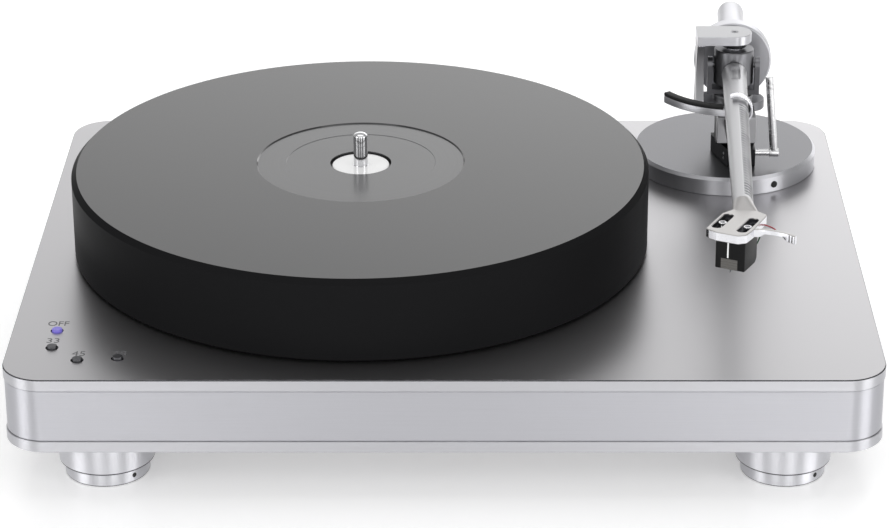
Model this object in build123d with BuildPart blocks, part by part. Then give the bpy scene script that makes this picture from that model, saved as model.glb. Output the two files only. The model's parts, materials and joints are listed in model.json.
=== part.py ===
from build123d import *
import math
import os

# Belt-driven turntable with a sandwich plinth, a thick platter and a magnet-bearing tonearm.
# Lengths are millimetres. +Z is up, +X is the listener's right and -Y faces the listener.
# The origin lies on the floor, at the middle of the overall footprint.

os.makedirs("parts", exist_ok=True)

# Plinth
plinth_width = 420.0
plinth_depth = 330.0
plinth_corner = 20.0
top_plate_thick = 6.0
band_height = 26.5
bottom_plate_thick = 5.8
plate_edge_break = 0.5
band_thick = 2.0
band_inset = 0.5

# Feet
foot_height = 26.0
foot_post_radius = 23.3
foot_post_height = 18.7
foot_groove = 0.3
foot_ring_radius = 20.5
foot_edge_break = 0.5
foot_stud_radius = 4.0
foot_stud_length = 11.0
foot_travel = 3.0
foot_inset_x = 45.6
foot_inset_y = 34.7
foot_grub_radius = 1.2
foot_grub_depth = 9.0
foot_grub_angle = 44.6

# Platter and its bearing
platter_left_of_middle = 44.0
platter_back_of_front = 164.5
platter_radius = 147.2
platter_thick = 42.2
platter_gap = 1.3
platter_top_break = 2.6
platter_foot_break = 0.8
hub_radius = 10.0
belt_well_radius = 100.0
belt_well_depth = 12.0
label_radius = 52.5
label_depth = 0.6
label_step_radius = 38.0
label_step_depth = 0.2
centre_well_radius = 15.6
centre_well_depth = 3.8
centre_disc_radius = 14.6
centre_disc_thick = 2.0
spindle_radius = 3.6
disc_bore_radius = 3.9
spindle_above_platter = 15.8
spindle_dome = 1.8
shaft_radius = 5.0
subplatter_radius = 65.0
subplatter_lift = 4.5
housing_radius = 11.0
housing_flange_radius = 24.0
housing_flange_thick = 3.0
housing_floor = 2.0
thrust_pad_thick = 2.2

# Motor, pulley and belt
motor_distance = 84.0
motor_angle = 200.0
motor_radius = 20.0
motor_height = 20.0
motor_boss_radius = 6.0
motor_boss_height = 2.2
motor_shaft_radius = 1.5
motor_shaft_depth = 10.0
motor_plate_radius = 28.0
motor_plate_thick = 1.6
grommet_radius = 3.0
grommet_height = 1.5
grommet_count = 3
grommet_circle_radius = 24.0
pulley_hole_radius = 9.4
pulley_seat_radius = 7.0
pulley_rim = 1.3
pulley_rim_thick = 0.9
pulley_lift = 3.6
belt_width = 4.0
belt_thick = 0.8
belt_gap = 0.1

# Buttons with their board
button_radius = 2.5
button_proud = 1.2
button_travel = 0.8
button_length = 9.0
button_collar_radius = 3.4
button_collar_thick = 1.4
button_gap = 0.15
button_dome = 0.4
button_names = ("button_off", "button_33", "button_45", "button_78")
button_from_left = (21.8, 21.6, 35.2, 54.3)
button_back_of_front = (54.3, 35.5, 21.9, 23.8)
switch_side = 6.0
board_from_left = 38.0
board_back_of_front = 39.0
board_width = 58.0
board_depth = 50.0
board_thick = 1.6
board_clear = 7.4
standoff_radius = 2.4
standoff_inset = 4.0

# Rear connectors
terminal_from_right = 118.0
terminal_width = 74.0
terminal_height = 20.0
terminal_thick = 1.5
terminal_corner = 3.0
socket_spacing = 20.0
socket_radius = 4.15
socket_length = 8.0
socket_collar_radius = 6.0
socket_collar_length = 2.5
socket_bore_radius = 1.65
socket_root = 6.0
ground_stem_radius = 2.0
ground_knob_radius = 3.5
ground_knob_length = 9.0
inlet_from_left = 60.0
inlet_radius = 5.5
inlet_length = 14.0
inlet_flange_radius = 7.5
inlet_flange_thick = 1.5
inlet_bore_radius = 2.8
inlet_bore_depth = 9.0

# Plinth screws
screw_radius = 2.5
screw_head_radius = 4.8
screw_head_height = 2.6
screw_length = 18.0
screw_inset_x = 94.0
screw_inset_y = 24.0

# Tonearm base and post
arm_right_of_middle = 153.8
arm_front_of_back = 61.7
base_right_of_middle = 150.4
base_front_of_back = 59.8
base_radius = 49.4
base_thick = 10.0
base_top_break = 1.5
base_foot_break = 0.4
base_grub_radius = 1.85
base_grub_angle = 26.0
base_grub_length = 12.0
base_grub_inset = 1.2
base_grub_height = 4.4
post_radius = 9.0
post_depth = 20.0
post_hole_gap = 0.6

# Bearing bracket, a C open to the right
bracket_lift = 33.0
bracket_plate_thick = 5.0
bracket_opening = 32.8
bracket_half_depth = 9.1
bracket_waist_half_depth = 5.0
bracket_side_inner = 16.2
bracket_side_thick = 4.2
bracket_foot_reach = 8.0
bracket_screw_radius = 2.0
bracket_screw_head_radius = 3.6
bracket_screw_head_height = 2.2
bracket_screw_length = 13.0
roof_screw_radius = 1.2
roof_screw_head_radius = 1.8
roof_screw_head_height = 1.2
roof_screw_bite = 0.8
magnet_holder_radius = 6.6
magnet_holder_height = 2.7
magnet_radius = 4.6
magnet_height = 1.4
magnet_inset = 0.3
cup_radius = 10.8
cup_height = 3.0
cup_rim = 1.8
cup_floor = 1.2

# Tonearm
arm_axis_lift = 57.0
arm_yaw = 3.0
arm_rise = 1.5
yoke_inner = 11.4
yoke_arm_thick = 2.6
yoke_half_width = 4.4
yoke_bar_thick = 2.6
yoke_above_cup = 0.4
yoke_stub_radius = 3.0
pivot_pin_radius = 1.6
pivot_pin_reach = 3.2
drum_radius = 10.6
drum_above_axis = 9.5
drum_below_axis = 10.0
drum_rear_flat = 7.5
drum_edge_break = 0.5
neck_radius = 5.2
neck_root = 5.0
tube_start = 17.0
tube_end = 206.0
tube_rear_radius = 6.5
tube_front_radius = 5.1
tube_bore_radius = 4.0
spigot_length = 8.0
rear_shaft_radius = 7.25
rear_shaft_end = 88.0
rear_shaft_break = 0.8
weight_radius = 21.0
weight_thick = 9.0
weight_start = 20.6
weight_drop = 4.9
weight_edge_break = 0.8

# Headshell. Its own axis runs midway between the cartridge screws, turned in from the tube's.
shell_reach = 242.2
shell_left_of_arm = 8.6
shell_turn_angle = 23.2
shell_top_above_axis = 1.6
shell_thick = 4.5
shell_length = 33.7
shell_width = 21.2
shell_nose = 3.6
shell_left = 10.3
shell_corner = 2.0
shell_neck_inset = 0.3
shell_outline_shares = (
    (1.0, 0.32),
    (1.0, 0.83),
    (0.91, 0.98),
    (0.71, 1.0),
    (0.08, 0.95),
    (0.0, 0.65),
    (0.04, 0.16),
    (0.31, 0.0),
    (0.92, 0.01),
    (0.96, 0.1),
)
shell_neck_width = 12.4
shell_neck_right = 1.2
shell_neck_end = 217.0
slot_length = 18.8
slot_width = 4.8
slot_spacing = 12.7
screws_behind_stylus = 10.8
finger_width = 1.8
finger_height = 4.0
finger_below_top = 0.2
finger_root_back = 8.2
finger_root_right = 9.4
finger_reach = 22.0
finger_sweep = 0.2
finger_bow = 2.6

# Cartridge
cartridge_nose = 1.2
cartridge_right_of_axis = 2.6
cartridge_length = 16.0
cartridge_width = 14.8
cartridge_height = 14.6
cartridge_heel = 2.0
cartridge_edge_break = 0.6
ear_length = 9.0
ear_width = 17.4
ear_thick = 2.6
guard_width = 8.2
guard_height = 5.6
guard_depth = 6.5
guard_rise = 0.4
guard_left = 0.3
cantilever_radius = 0.3
cantilever_back = 4.0
stylus_right_of_axis = 2.3
stylus_above_platter = 0.6
cartridge_screw_radius = 1.25
cartridge_screw_head_radius = 2.1
cartridge_screw_head_height = 1.7

# Lift block under the bracket, measured from the post's axis
block_lift = 10.4
ledge_top = 20.0
block_top = 37.0
block_left_back = 11.6
block_left_front = 4.3
block_right = 13.2
block_front = 31.3
block_back = 9.3
ledge_back = 6.3
tower_left = 10.1
tower_front = 22.3
lift_housing_right = 11.2
lift_housing_front = 30.3
lift_housing_top = 38.0
housing_screw_radius = 0.8
housing_screw_length = 4.0
housing_screw_proud = 0.4
housing_screw_share = 0.78
housing_screw_lift = 13.4
housing_screw_pitch = 2.7

# Lift and its lever
lift_pin_left = 2.8
lift_pin_radius = 2.2
lift_pin_in_housing = 10.5
lift_travel = 5.0
lift_bar_lift = 43.4
lift_bar_thick = 4.8
lift_bar_width = 4.0
lift_bar_radius = 43.5
lift_bar_start_angle = 9.0
lift_bar_end_angle = 58.0
lift_pad_start_angle = 11.0
lift_pad_thick = 2.0
lever_axis_lift = 17.0
lever_axis_front = 27.3
lever_shaft_radius = 1.8
lever_shaft_start = 3.0
lever_shaft_end = 23.4
lever_eye_radius = 2.3
lever_eye_width = 5.0
lever_radius = 2.1
lever_height = 43.7
lever_lean_angle = 5.2
lever_ring_depth = 0.3
lever_ring_height = 0.7
lever_ring_pitch = 2.6
lever_ring_count = 2
lever_ring_from_top = 3.6

# Arm rest with its springy clip
rest_along_arm = 71.0
rest_stem_lift = 33.0
rest_stem_thick = 4.0
rest_stem_width = 5.6
clip_inner_radius = 7.3
clip_wall = 1.1
clip_width = 6.0
clip_opening_angle = 115.0
clip_foot_angle = -100.0

# Clearances between moving fits and fixed neighbours, and the overrun of every cut
running_gap = 0.05
clearance = 0.3
overrun = 1.0

# Heights above the floor
bottom_plate_z = foot_height
band_z = bottom_plate_z + bottom_plate_thick
top_plate_z = band_z + band_height
deck_z = top_plate_z + top_plate_thick
platter_z = deck_z + platter_gap
platter_top_z = platter_z + platter_thick

# The rear shaft reaches past the plinth, so it sets the overall depth
yaw_sin = math.sin(math.radians(arm_yaw))
yaw_cos = math.cos(math.radians(arm_yaw))
rise_sin = math.sin(math.radians(arm_rise))
rise_cos = math.cos(math.radians(arm_rise))
shaft_level = yaw_cos * rise_cos
shaft_lean = math.sqrt(1 - shaft_level**2)
end_face_reach = rear_shaft_end * shaft_level + (rear_shaft_radius - rear_shaft_break) * shaft_lean
end_break_reach = (rear_shaft_end - rear_shaft_break) * shaft_level + rear_shaft_radius * shaft_lean
rear_reach = plinth_depth - arm_front_of_back + max(end_face_reach, end_break_reach)
front_y = -rear_reach / 2
back_y = front_y + plinth_depth
plinth_y = front_y + plinth_depth / 2
side_x = plinth_width / 2

# Places seen from above
platter_x = -platter_left_of_middle
platter_y = front_y + platter_back_of_front
motor_turn = math.radians(motor_angle)
motor_x = platter_x + motor_distance * math.cos(motor_turn)
motor_y = platter_y + motor_distance * math.sin(motor_turn)
arm_x = arm_right_of_middle
arm_y = back_y - arm_front_of_back
base_x = base_right_of_middle
base_y = back_y - base_front_of_back
button_places = [(x - side_x, front_y + y) for x, y in zip(button_from_left, button_back_of_front)]
foot_side_x = side_x - foot_inset_x
screw_side_x = side_x - screw_inset_x
foot_places = {
    "foot_front_left": (-foot_side_x, front_y + foot_inset_y),
    "foot_front_right": (foot_side_x, front_y + foot_inset_y),
    "foot_rear": (0, back_y - foot_inset_y),
}
screw_places = [
    (x, y)
    for x in (-screw_side_x, 0, screw_side_x)
    for y in (front_y + screw_inset_y, back_y - screw_inset_y)
    if x or y < plinth_y
]

# Directions of the tonearm: along the tube to its head, out to the right, and up from the tube
pivot = Vector(arm_x, arm_y, deck_z + arm_axis_lift)
level_along = Vector(-yaw_sin, -yaw_cos, 0)
along = Vector(-yaw_sin * rise_cos, -yaw_cos * rise_cos, rise_sin)
aside = Vector(yaw_cos, -yaw_sin, 0)
above = along.cross(aside)
arm_plane = Plane(origin=pivot, x_dir=along, z_dir=above)
arm_length_plane = Plane(origin=pivot, x_dir=along, z_dir=aside * -1)
arm_deck_plane = Plane(origin=(arm_x, arm_y, deck_z))


def arm_point(distance, side=0.0, height=0.0):
    """A point given along the tube from the pivot, out to the right and up from the axis."""
    return pivot + along * distance + aside * side + above * height


def arm_section(distance):
    """The plane square to the tube at a distance from the pivot, with x right and y up."""
    return Plane(origin=arm_point(distance), x_dir=aside, z_dir=along)


def upright_plane(place):
    """The upright plane through a place, with x to the right and y up from the floor."""
    return Plane(origin=(*place, 0), x_dir=(1, 0, 0), z_dir=(0, -1, 0))


def finish(build, name):
    """Label a finished piece and write it out."""
    build.part.label = name
    export_step(build.part, f"parts/{name}.step")


# Top plate, open for the bearing, the pulley, the post and the buttons
with BuildPart() as top_plate:
    with BuildSketch(Plane.XY.offset(top_plate_z)):
        with Locations((0, plinth_y)):
            RectangleRounded(plinth_width, plinth_depth, plinth_corner)
    extrude(amount=top_plate_thick)
    chamfer(top_plate.faces().sort_by(Axis.Z)[-1].outer_wire().edges(), plate_edge_break)
    with BuildSketch(Plane.XY.offset(top_plate_z)):
        with Locations((platter_x, platter_y)):
            Circle(housing_radius + clearance)
        with Locations((motor_x, motor_y)):
            Circle(pulley_hole_radius)
        with Locations((arm_x, arm_y)):
            Circle(post_radius + post_hole_gap)
        with Locations(*button_places):
            Circle(button_radius + button_gap)
    extrude(amount=top_plate_thick, mode=Mode.SUBTRACT)
finish(top_plate, "top_plate")

# Bottom plate, counterbored from below for its screws
with BuildPart() as bottom_plate:
    with BuildSketch(Plane.XY.offset(bottom_plate_z)):
        with Locations((0, plinth_y)):
            RectangleRounded(plinth_width, plinth_depth, plinth_corner)
    extrude(amount=bottom_plate_thick)
    chamfer(bottom_plate.faces().sort_by(Axis.Z)[0].outer_wire().edges(), plate_edge_break)
    with BuildSketch(Plane.XY.offset(bottom_plate_z)):
        with Locations(*screw_places):
            Circle(screw_radius)
    extrude(amount=bottom_plate_thick, mode=Mode.SUBTRACT)
    with BuildSketch(Plane.XY.offset(bottom_plate_z)):
        with Locations(*screw_places):
            Circle(screw_head_radius)
    extrude(amount=screw_head_height, mode=Mode.SUBTRACT)
finish(bottom_plate, "bottom_plate")

# Core between the plates, in four boards around the pocket of the control board
core_inset = band_inset + band_thick
core_corner = plinth_corner - core_inset
board_x = board_from_left - side_x
board_y = front_y + board_back_of_front
terminal_x = side_x - terminal_from_right
inlet_x = inlet_from_left - side_x
core_width = plinth_width - 2 * core_inset
core_depth = plinth_depth - 2 * core_inset
core_left_x = -core_width / 2
core_right_x = core_width / 2
core_front_y = plinth_y - core_depth / 2
core_back_y = plinth_y + core_depth / 2
pocket_width = board_width + 2 * clearance
pocket_depth = board_depth + 2 * clearance
pocket_left_x = board_x - pocket_width / 2
pocket_right_x = board_x + pocket_width / 2
pocket_front_y = board_y - pocket_depth / 2
pocket_back_y = board_y + pocket_depth / 2


def make_core(name, left, right, front, back):
    """One board of the core between two lines each way, less every pocket that reaches into it."""
    with BuildPart() as core:
        with BuildSketch(Plane.XY.offset(band_z)):
            with Locations((0, plinth_y)):
                RectangleRounded(core_width, core_depth, core_corner)
            with Locations((platter_x, platter_y)):
                Circle(housing_radius + clearance, mode=Mode.SUBTRACT)
            with Locations((motor_x, motor_y)):
                Circle(motor_plate_radius + clearance, mode=Mode.SUBTRACT)
            with Locations((arm_x, arm_y)):
                Circle(post_radius + post_hole_gap, mode=Mode.SUBTRACT)
            with Locations(*screw_places):
                Circle(screw_radius, mode=Mode.SUBTRACT)
            with Locations((terminal_x, back_y - core_inset)):
                Rectangle(terminal_width, 2 * (socket_root + clearance), mode=Mode.SUBTRACT)
            with Locations((inlet_x, back_y - core_inset)):
                Rectangle(2 * inlet_flange_radius, 2 * inlet_length, mode=Mode.SUBTRACT)
            with Locations(((left + right) / 2, (front + back) / 2)):
                Rectangle(right - left, back - front, mode=Mode.INTERSECT)
        extrude(amount=band_height)
    finish(core, name)


make_core("core_left", core_left_x, pocket_left_x, core_front_y, core_back_y)
make_core("core_front", pocket_left_x, core_right_x, core_front_y, pocket_front_y)
make_core("core_rear_left", pocket_left_x, pocket_right_x, pocket_back_y, core_back_y)
make_core("core_board", pocket_right_x, core_right_x, pocket_front_y, core_back_y)

# Brushed band around the core, set back a little from the plates
connector_z = band_z + band_height / 2
band_back_y = back_y - band_inset


def rear_plane(x, y):
    """An upright plane that looks out of the back, with x towards the listener's left."""
    return Plane(origin=(x, y, connector_z), x_dir=(-1, 0, 0), z_dir=(0, 1, 0))


with BuildPart() as side_band:
    with BuildSketch(Plane.XY.offset(band_z)):
        with Locations((0, plinth_y)):
            RectangleRounded(
                plinth_width - 2 * band_inset, plinth_depth - 2 * band_inset, plinth_corner - band_inset
            )
            RectangleRounded(core_width, core_depth, core_corner, mode=Mode.SUBTRACT)
    extrude(amount=band_height)
    with BuildSketch(rear_plane(0, band_back_y)):
        with Locations((-terminal_x, 0), (-terminal_x + socket_spacing, 0)):
            Circle(socket_radius)
        with Locations((-terminal_x - socket_spacing, 0)):
            Circle(ground_stem_radius)
        with Locations((-inlet_x, 0)):
            Circle(inlet_radius)
    extrude(amount=-band_thick, mode=Mode.SUBTRACT)
finish(side_band, "side_band")

# Screws that hold the sandwich together from below
with BuildPart() as plinth_screws:
    with BuildSketch(Plane.XY.offset(bottom_plate_z)):
        with Locations(*screw_places):
            Circle(screw_head_radius)
    extrude(amount=screw_head_height)
    with BuildSketch(Plane.XY.offset(bottom_plate_z)):
        with Locations(*screw_places):
            Circle(screw_radius)
    extrude(amount=screw_length)
finish(plinth_screws, "plinth_screws")

# Fixed foot posts, each bored for the stud of its ring
foot_post_z = foot_height - foot_post_height
foot_ring_height = foot_post_z - foot_groove
with BuildPart() as foot_posts:
    with BuildSketch(Plane.XY.offset(foot_post_z)):
        with Locations(*foot_places.values()):
            Circle(foot_post_radius)
    extrude(amount=foot_post_height)
    chamfer(foot_posts.edges().group_by(Axis.Z)[0], foot_edge_break)
    with BuildSketch(Plane.XY.offset(foot_post_z)):
        with Locations(*foot_places.values()):
            Circle(foot_stud_radius + running_gap)
    extrude(amount=foot_stud_length + foot_travel + clearance, mode=Mode.SUBTRACT)
finish(foot_posts, "foot_posts")

# Foot rings, which screw up and down for levelling and carry the hole of a grub screw
grub_turn = math.radians(foot_grub_angle)
foot_grub_outward = Vector(math.sin(grub_turn), -math.cos(grub_turn), 0)


def make_foot(name, place):
    """A foot ring with its stud and the hole of its grub screw."""
    grub_mouth = Vector(*place, foot_ring_height / 2) + foot_grub_outward * foot_ring_radius
    with BuildPart() as foot:
        with BuildSketch(Plane(origin=(*place, 0))):
            Circle(foot_ring_radius)
        extrude(amount=foot_ring_height)
        chamfer(foot.edges().filter_by(GeomType.CIRCLE), foot_edge_break)
        with BuildSketch(Plane(origin=(*place, foot_ring_height))):
            Circle(foot_stud_radius)
        extrude(amount=foot_stud_length + foot_groove)
        with BuildSketch(Plane(origin=grub_mouth, z_dir=foot_grub_outward)):
            Circle(foot_grub_radius)
        extrude(amount=-foot_grub_depth, mode=Mode.SUBTRACT)
        with BuildSketch(Plane(origin=grub_mouth, z_dir=foot_grub_outward)):
            Circle(foot_grub_radius)
        extrude(amount=overrun, mode=Mode.SUBTRACT)
    finish(foot, name)


for foot_name, foot_place in foot_places.items():
    make_foot(foot_name, foot_place)

# Bearing housing: a flanged sleeve with a closed floor
housing_z = band_z + clearance
pad_z = housing_z + housing_floor
flange_top_z = deck_z + housing_flange_thick
with BuildPart() as bearing_housing:
    with BuildSketch(Plane(origin=(platter_x, platter_y, housing_z))):
        Circle(housing_radius)
    extrude(amount=deck_z - housing_z)
    with BuildSketch(Plane(origin=(platter_x, platter_y, deck_z))):
        Circle(housing_flange_radius)
    extrude(amount=housing_flange_thick)
    with BuildSketch(Plane(origin=(platter_x, platter_y, pad_z))):
        Circle(shaft_radius + running_gap)
    extrude(amount=flange_top_z - pad_z, mode=Mode.SUBTRACT)
finish(bearing_housing, "bearing_housing")

with BuildPart() as thrust_pad:
    with BuildSketch(Plane(origin=(platter_x, platter_y, pad_z))):
        Circle(shaft_radius)
    extrude(amount=thrust_pad_thick)
finish(thrust_pad, "thrust_pad")

# Spindle: the bearing shaft below, a shoulder that centres the disc, the domed record spindle above
shaft_z = pad_z + thrust_pad_thick + running_gap
disc_seat_z = platter_top_z - centre_well_depth
disc_top_z = disc_seat_z + centre_disc_thick
spindle_top_z = platter_top_z + spindle_above_platter
with BuildPart() as spindle:
    with BuildSketch(upright_plane((platter_x, platter_y))):
        with BuildLine():
            Polyline(
                (0, spindle_top_z),
                (0, shaft_z),
                (shaft_radius, shaft_z),
                (shaft_radius, disc_seat_z),
                (disc_bore_radius, disc_seat_z),
                (disc_bore_radius, disc_top_z),
                (spindle_radius, disc_top_z),
                (spindle_radius, spindle_top_z - spindle_dome),
            )
            TangentArc(
                (0, spindle_top_z),
                (spindle_radius, spindle_top_z - spindle_dome),
                tangent=(1, 0),
            )
        make_face()
    revolve(axis=Axis((platter_x, platter_y, 0), (0, 0, 1)))
finish(spindle, "spindle")

# Subplatter, driven by the belt, with the hub that centres the platter
subplatter_z = deck_z + subplatter_lift
well_top_z = platter_z + belt_well_depth
with BuildPart() as subplatter:
    with BuildSketch(Plane(origin=(platter_x, platter_y, subplatter_z))):
        Circle(subplatter_radius)
    extrude(amount=well_top_z - subplatter_z)
    with BuildSketch(Plane(origin=(platter_x, platter_y, well_top_z))):
        Circle(hub_radius)
    extrude(amount=disc_seat_z - well_top_z)
    with BuildSketch(Plane(origin=(platter_x, platter_y, subplatter_z))):
        Circle(shaft_radius)
    extrude(amount=disc_seat_z - subplatter_z, mode=Mode.SUBTRACT)
finish(subplatter, "subplatter")

# Platter, turned from one thick disc
label_z = platter_top_z - label_depth
label_step_z = label_z - label_step_depth
with BuildPart() as platter:
    with BuildSketch(upright_plane((platter_x, platter_y))):
        with BuildLine():
            Polyline(
                (belt_well_radius, platter_z),
                (platter_radius - platter_foot_break, platter_z),
                (platter_radius, platter_z + platter_foot_break),
                (platter_radius, platter_top_z - platter_top_break),
                (platter_radius - platter_top_break, platter_top_z),
                (label_radius + label_depth, platter_top_z),
                (label_radius, label_z),
                (label_step_radius + label_step_depth, label_z),
                (label_step_radius, label_step_z),
                (centre_well_radius, label_step_z),
                (centre_well_radius, disc_seat_z),
                (hub_radius, disc_seat_z),
                (hub_radius, well_top_z),
                (belt_well_radius, well_top_z),
                close=True,
            )
        make_face()
    revolve(axis=Axis((platter_x, platter_y, 0), (0, 0, 1)))
finish(platter, "platter")

with BuildPart() as centre_disc:
    with BuildSketch(Plane(origin=(platter_x, platter_y, disc_seat_z))):
        Circle(centre_disc_radius)
        Circle(disc_bore_radius, mode=Mode.SUBTRACT)
    extrude(amount=centre_disc_thick)
finish(centre_disc, "centre_disc")

# Motor, hung from the top plate on rubber grommets
motor_plate_z = top_plate_z - grommet_height - motor_plate_thick
with BuildPart() as motor_grommets:
    with BuildSketch(Plane(origin=(motor_x, motor_y, top_plate_z))):
        with PolarLocations(grommet_circle_radius, grommet_count):
            Circle(grommet_radius)
    extrude(amount=-grommet_height)
finish(motor_grommets, "motor_grommets")

with BuildPart() as motor_plate:
    with BuildSketch(Plane(origin=(motor_x, motor_y, motor_plate_z))):
        Circle(motor_plate_radius)
        Circle(motor_boss_radius, mode=Mode.SUBTRACT)
    extrude(amount=motor_plate_thick)
finish(motor_plate, "motor_plate")

with BuildPart() as motor:
    with BuildSketch(Plane(origin=(motor_x, motor_y, motor_plate_z))):
        Circle(motor_radius)
    extrude(amount=-motor_height)
    with BuildSketch(Plane(origin=(motor_x, motor_y, motor_plate_z))):
        Circle(motor_boss_radius)
    extrude(amount=motor_boss_height)
    with BuildSketch(Plane(origin=(motor_x, motor_y, motor_plate_z + motor_boss_height))):
        Circle(motor_shaft_radius + running_gap)
    extrude(amount=-(motor_boss_height + motor_shaft_depth), mode=Mode.SUBTRACT)
finish(motor, "motor")

# Pulley on its shaft, with a rim above and below the belt
pulley_z = deck_z + pulley_lift
belt_z = pulley_z + pulley_rim_thick + clearance
pulley_seat_top_z = belt_z + belt_width + clearance
pulley_top_z = pulley_seat_top_z + pulley_rim_thick
pulley_rim_radius = pulley_seat_radius + pulley_rim
motor_shaft_z = motor_plate_z - motor_shaft_depth + clearance
with BuildPart() as motor_pulley:
    with BuildSketch(upright_plane((motor_x, motor_y))):
        with BuildLine():
            Polyline(
                (0, motor_shaft_z),
                (motor_shaft_radius, motor_shaft_z),
                (motor_shaft_radius, pulley_z),
                (pulley_rim_radius, pulley_z),
                (pulley_rim_radius, pulley_z + pulley_rim_thick),
                (pulley_seat_radius, pulley_z + pulley_rim_thick),
                (pulley_seat_radius, pulley_seat_top_z),
                (pulley_rim_radius, pulley_seat_top_z),
                (pulley_rim_radius, pulley_top_z),
                (0, pulley_top_z),
                close=True,
            )
        make_face()
    revolve(axis=Axis((motor_x, motor_y, 0), (0, 0, 1)))
finish(motor_pulley, "motor_pulley")

# Flat belt around the subplatter and the pulley
with BuildPart() as drive_belt:
    with BuildSketch(Plane.XY.offset(belt_z)):
        with Locations((platter_x, platter_y)):
            Circle(subplatter_radius + belt_gap + belt_thick)
        with Locations((motor_x, motor_y)):
            Circle(pulley_seat_radius + belt_gap + belt_thick)
        make_hull()
    extrude(amount=belt_width)
    with BuildSketch(Plane.XY.offset(belt_z)):
        with Locations((platter_x, platter_y)):
            Circle(subplatter_radius + belt_gap)
        with Locations((motor_x, motor_y)):
            Circle(pulley_seat_radius + belt_gap)
        make_hull()
    extrude(amount=belt_width, mode=Mode.SUBTRACT)
finish(drive_belt, "drive_belt")

# Buttons, each with a hidden collar that keeps it in the plate
button_z = deck_z + button_proud - button_length


def make_button(name, place):
    """A round push button with a slightly domed cap."""
    with BuildPart() as button:
        with BuildSketch(Plane(origin=(*place, button_z))):
            Circle(button_radius)
        extrude(amount=button_length)
        fillet(button.edges().group_by(Axis.Z)[-1], button_dome)
        with BuildSketch(Plane(origin=(*place, top_plate_z - clearance))):
            Circle(button_collar_radius)
        extrude(amount=-button_collar_thick)
    finish(button, name)


for button_name, button_place in zip(button_names, button_places):
    make_button(button_name, button_place)

# Control board on its standoffs, with a small switch under each button
board_top_z = top_plate_z - board_clear
switch_top_z = button_z - button_travel - clearance
with BuildPart() as control_board:
    with BuildSketch(Plane(origin=(board_x, board_y, board_top_z))):
        Rectangle(board_width, board_depth)
    extrude(amount=-board_thick)
    with BuildSketch(Plane(origin=(board_x, board_y, board_top_z))):
        with GridLocations(board_width - 2 * standoff_inset, board_depth - 2 * standoff_inset, 2, 2):
            Circle(standoff_radius)
    extrude(amount=board_clear)
finish(control_board, "control_board")

with BuildPart() as button_switches:
    with BuildSketch(Plane.XY.offset(board_top_z)):
        with Locations(*button_places):
            Rectangle(switch_side, switch_side)
    extrude(amount=switch_top_z - board_top_z)
finish(button_switches, "button_switches")

# Plate with the signal sockets and the ground post
terminal_face_y = band_back_y + terminal_thick
band_inner_y = band_back_y - band_thick
with BuildPart() as terminal_plate:
    with BuildSketch(rear_plane(terminal_x, band_back_y)):
        RectangleRounded(terminal_width, terminal_height, terminal_corner)
        with Locations((0, 0), (socket_spacing, 0)):
            Circle(socket_radius, mode=Mode.SUBTRACT)
        with Locations((-socket_spacing, 0)):
            Circle(ground_stem_radius, mode=Mode.SUBTRACT)
    extrude(amount=terminal_thick)
finish(terminal_plate, "terminal_plate")

socket_tip_y = terminal_face_y + socket_collar_length + socket_length
with BuildPart() as signal_sockets:
    with BuildSketch(rear_plane(terminal_x, socket_tip_y)):
        with Locations((0, 0), (socket_spacing, 0)):
            Circle(socket_radius)
    extrude(amount=-(socket_tip_y - band_inner_y + socket_root))
    with BuildSketch(rear_plane(terminal_x, terminal_face_y)):
        with Locations((0, 0), (socket_spacing, 0)):
            Circle(socket_collar_radius)
    extrude(amount=socket_collar_length)
    with BuildSketch(rear_plane(terminal_x, socket_tip_y)):
        with Locations((0, 0), (socket_spacing, 0)):
            Circle(socket_bore_radius)
    extrude(amount=-socket_length, mode=Mode.SUBTRACT)
finish(signal_sockets, "signal_sockets")

with BuildPart() as ground_post:
    with BuildSketch(rear_plane(terminal_x + socket_spacing, band_inner_y)):
        Circle(ground_stem_radius)
    extrude(amount=band_thick + terminal_thick)
    with BuildSketch(rear_plane(terminal_x + socket_spacing, terminal_face_y)):
        Circle(ground_knob_radius)
    extrude(amount=ground_knob_length)
finish(ground_post, "ground_post")

# Power inlet
inlet_face_y = band_back_y + inlet_flange_thick
with BuildPart() as power_inlet:
    with BuildSketch(rear_plane(inlet_x, inlet_face_y)):
        Circle(inlet_radius)
    extrude(amount=-inlet_length)
    with BuildSketch(rear_plane(inlet_x, band_back_y)):
        Circle(inlet_flange_radius)
    extrude(amount=inlet_flange_thick)
    with BuildSketch(rear_plane(inlet_x, inlet_face_y)):
        Circle(inlet_bore_radius)
    extrude(amount=-inlet_bore_depth, mode=Mode.SUBTRACT)
finish(power_inlet, "power_inlet")

# Tonearm base, bored for the post and cross-drilled for the screw that clamps it
base_grub_turn = math.radians(base_grub_angle)
base_grub_outward = Vector(math.sin(base_grub_turn), -math.cos(base_grub_turn), 0)
base_offset = Vector(arm_x - base_x, arm_y - base_y, 0)
offset_along_grub = base_offset.dot(base_grub_outward)
grub_chord = math.sqrt(offset_along_grub**2 - base_offset.dot(base_offset) + base_radius**2)
grub_reach = grub_chord - offset_along_grub
post_axis_point = Vector(arm_x, arm_y, deck_z + base_grub_height)
with BuildPart() as arm_base:
    with BuildSketch(Plane(origin=(base_x, base_y, deck_z))):
        Circle(base_radius)
    extrude(amount=base_thick)
    chamfer(arm_base.edges().group_by(Axis.Z)[-1], base_top_break)
    chamfer(arm_base.edges().group_by(Axis.Z)[0], base_foot_break)
    with BuildSketch(arm_deck_plane):
        Circle(post_radius + running_gap)
    extrude(amount=base_thick, mode=Mode.SUBTRACT)
    with BuildSketch(
        Plane(origin=post_axis_point + base_grub_outward * (grub_reach + overrun), z_dir=base_grub_outward)
    ):
        Circle(base_grub_radius)
    extrude(amount=-(grub_reach + overrun - post_radius), mode=Mode.SUBTRACT)
finish(arm_base, "arm_base")

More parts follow.
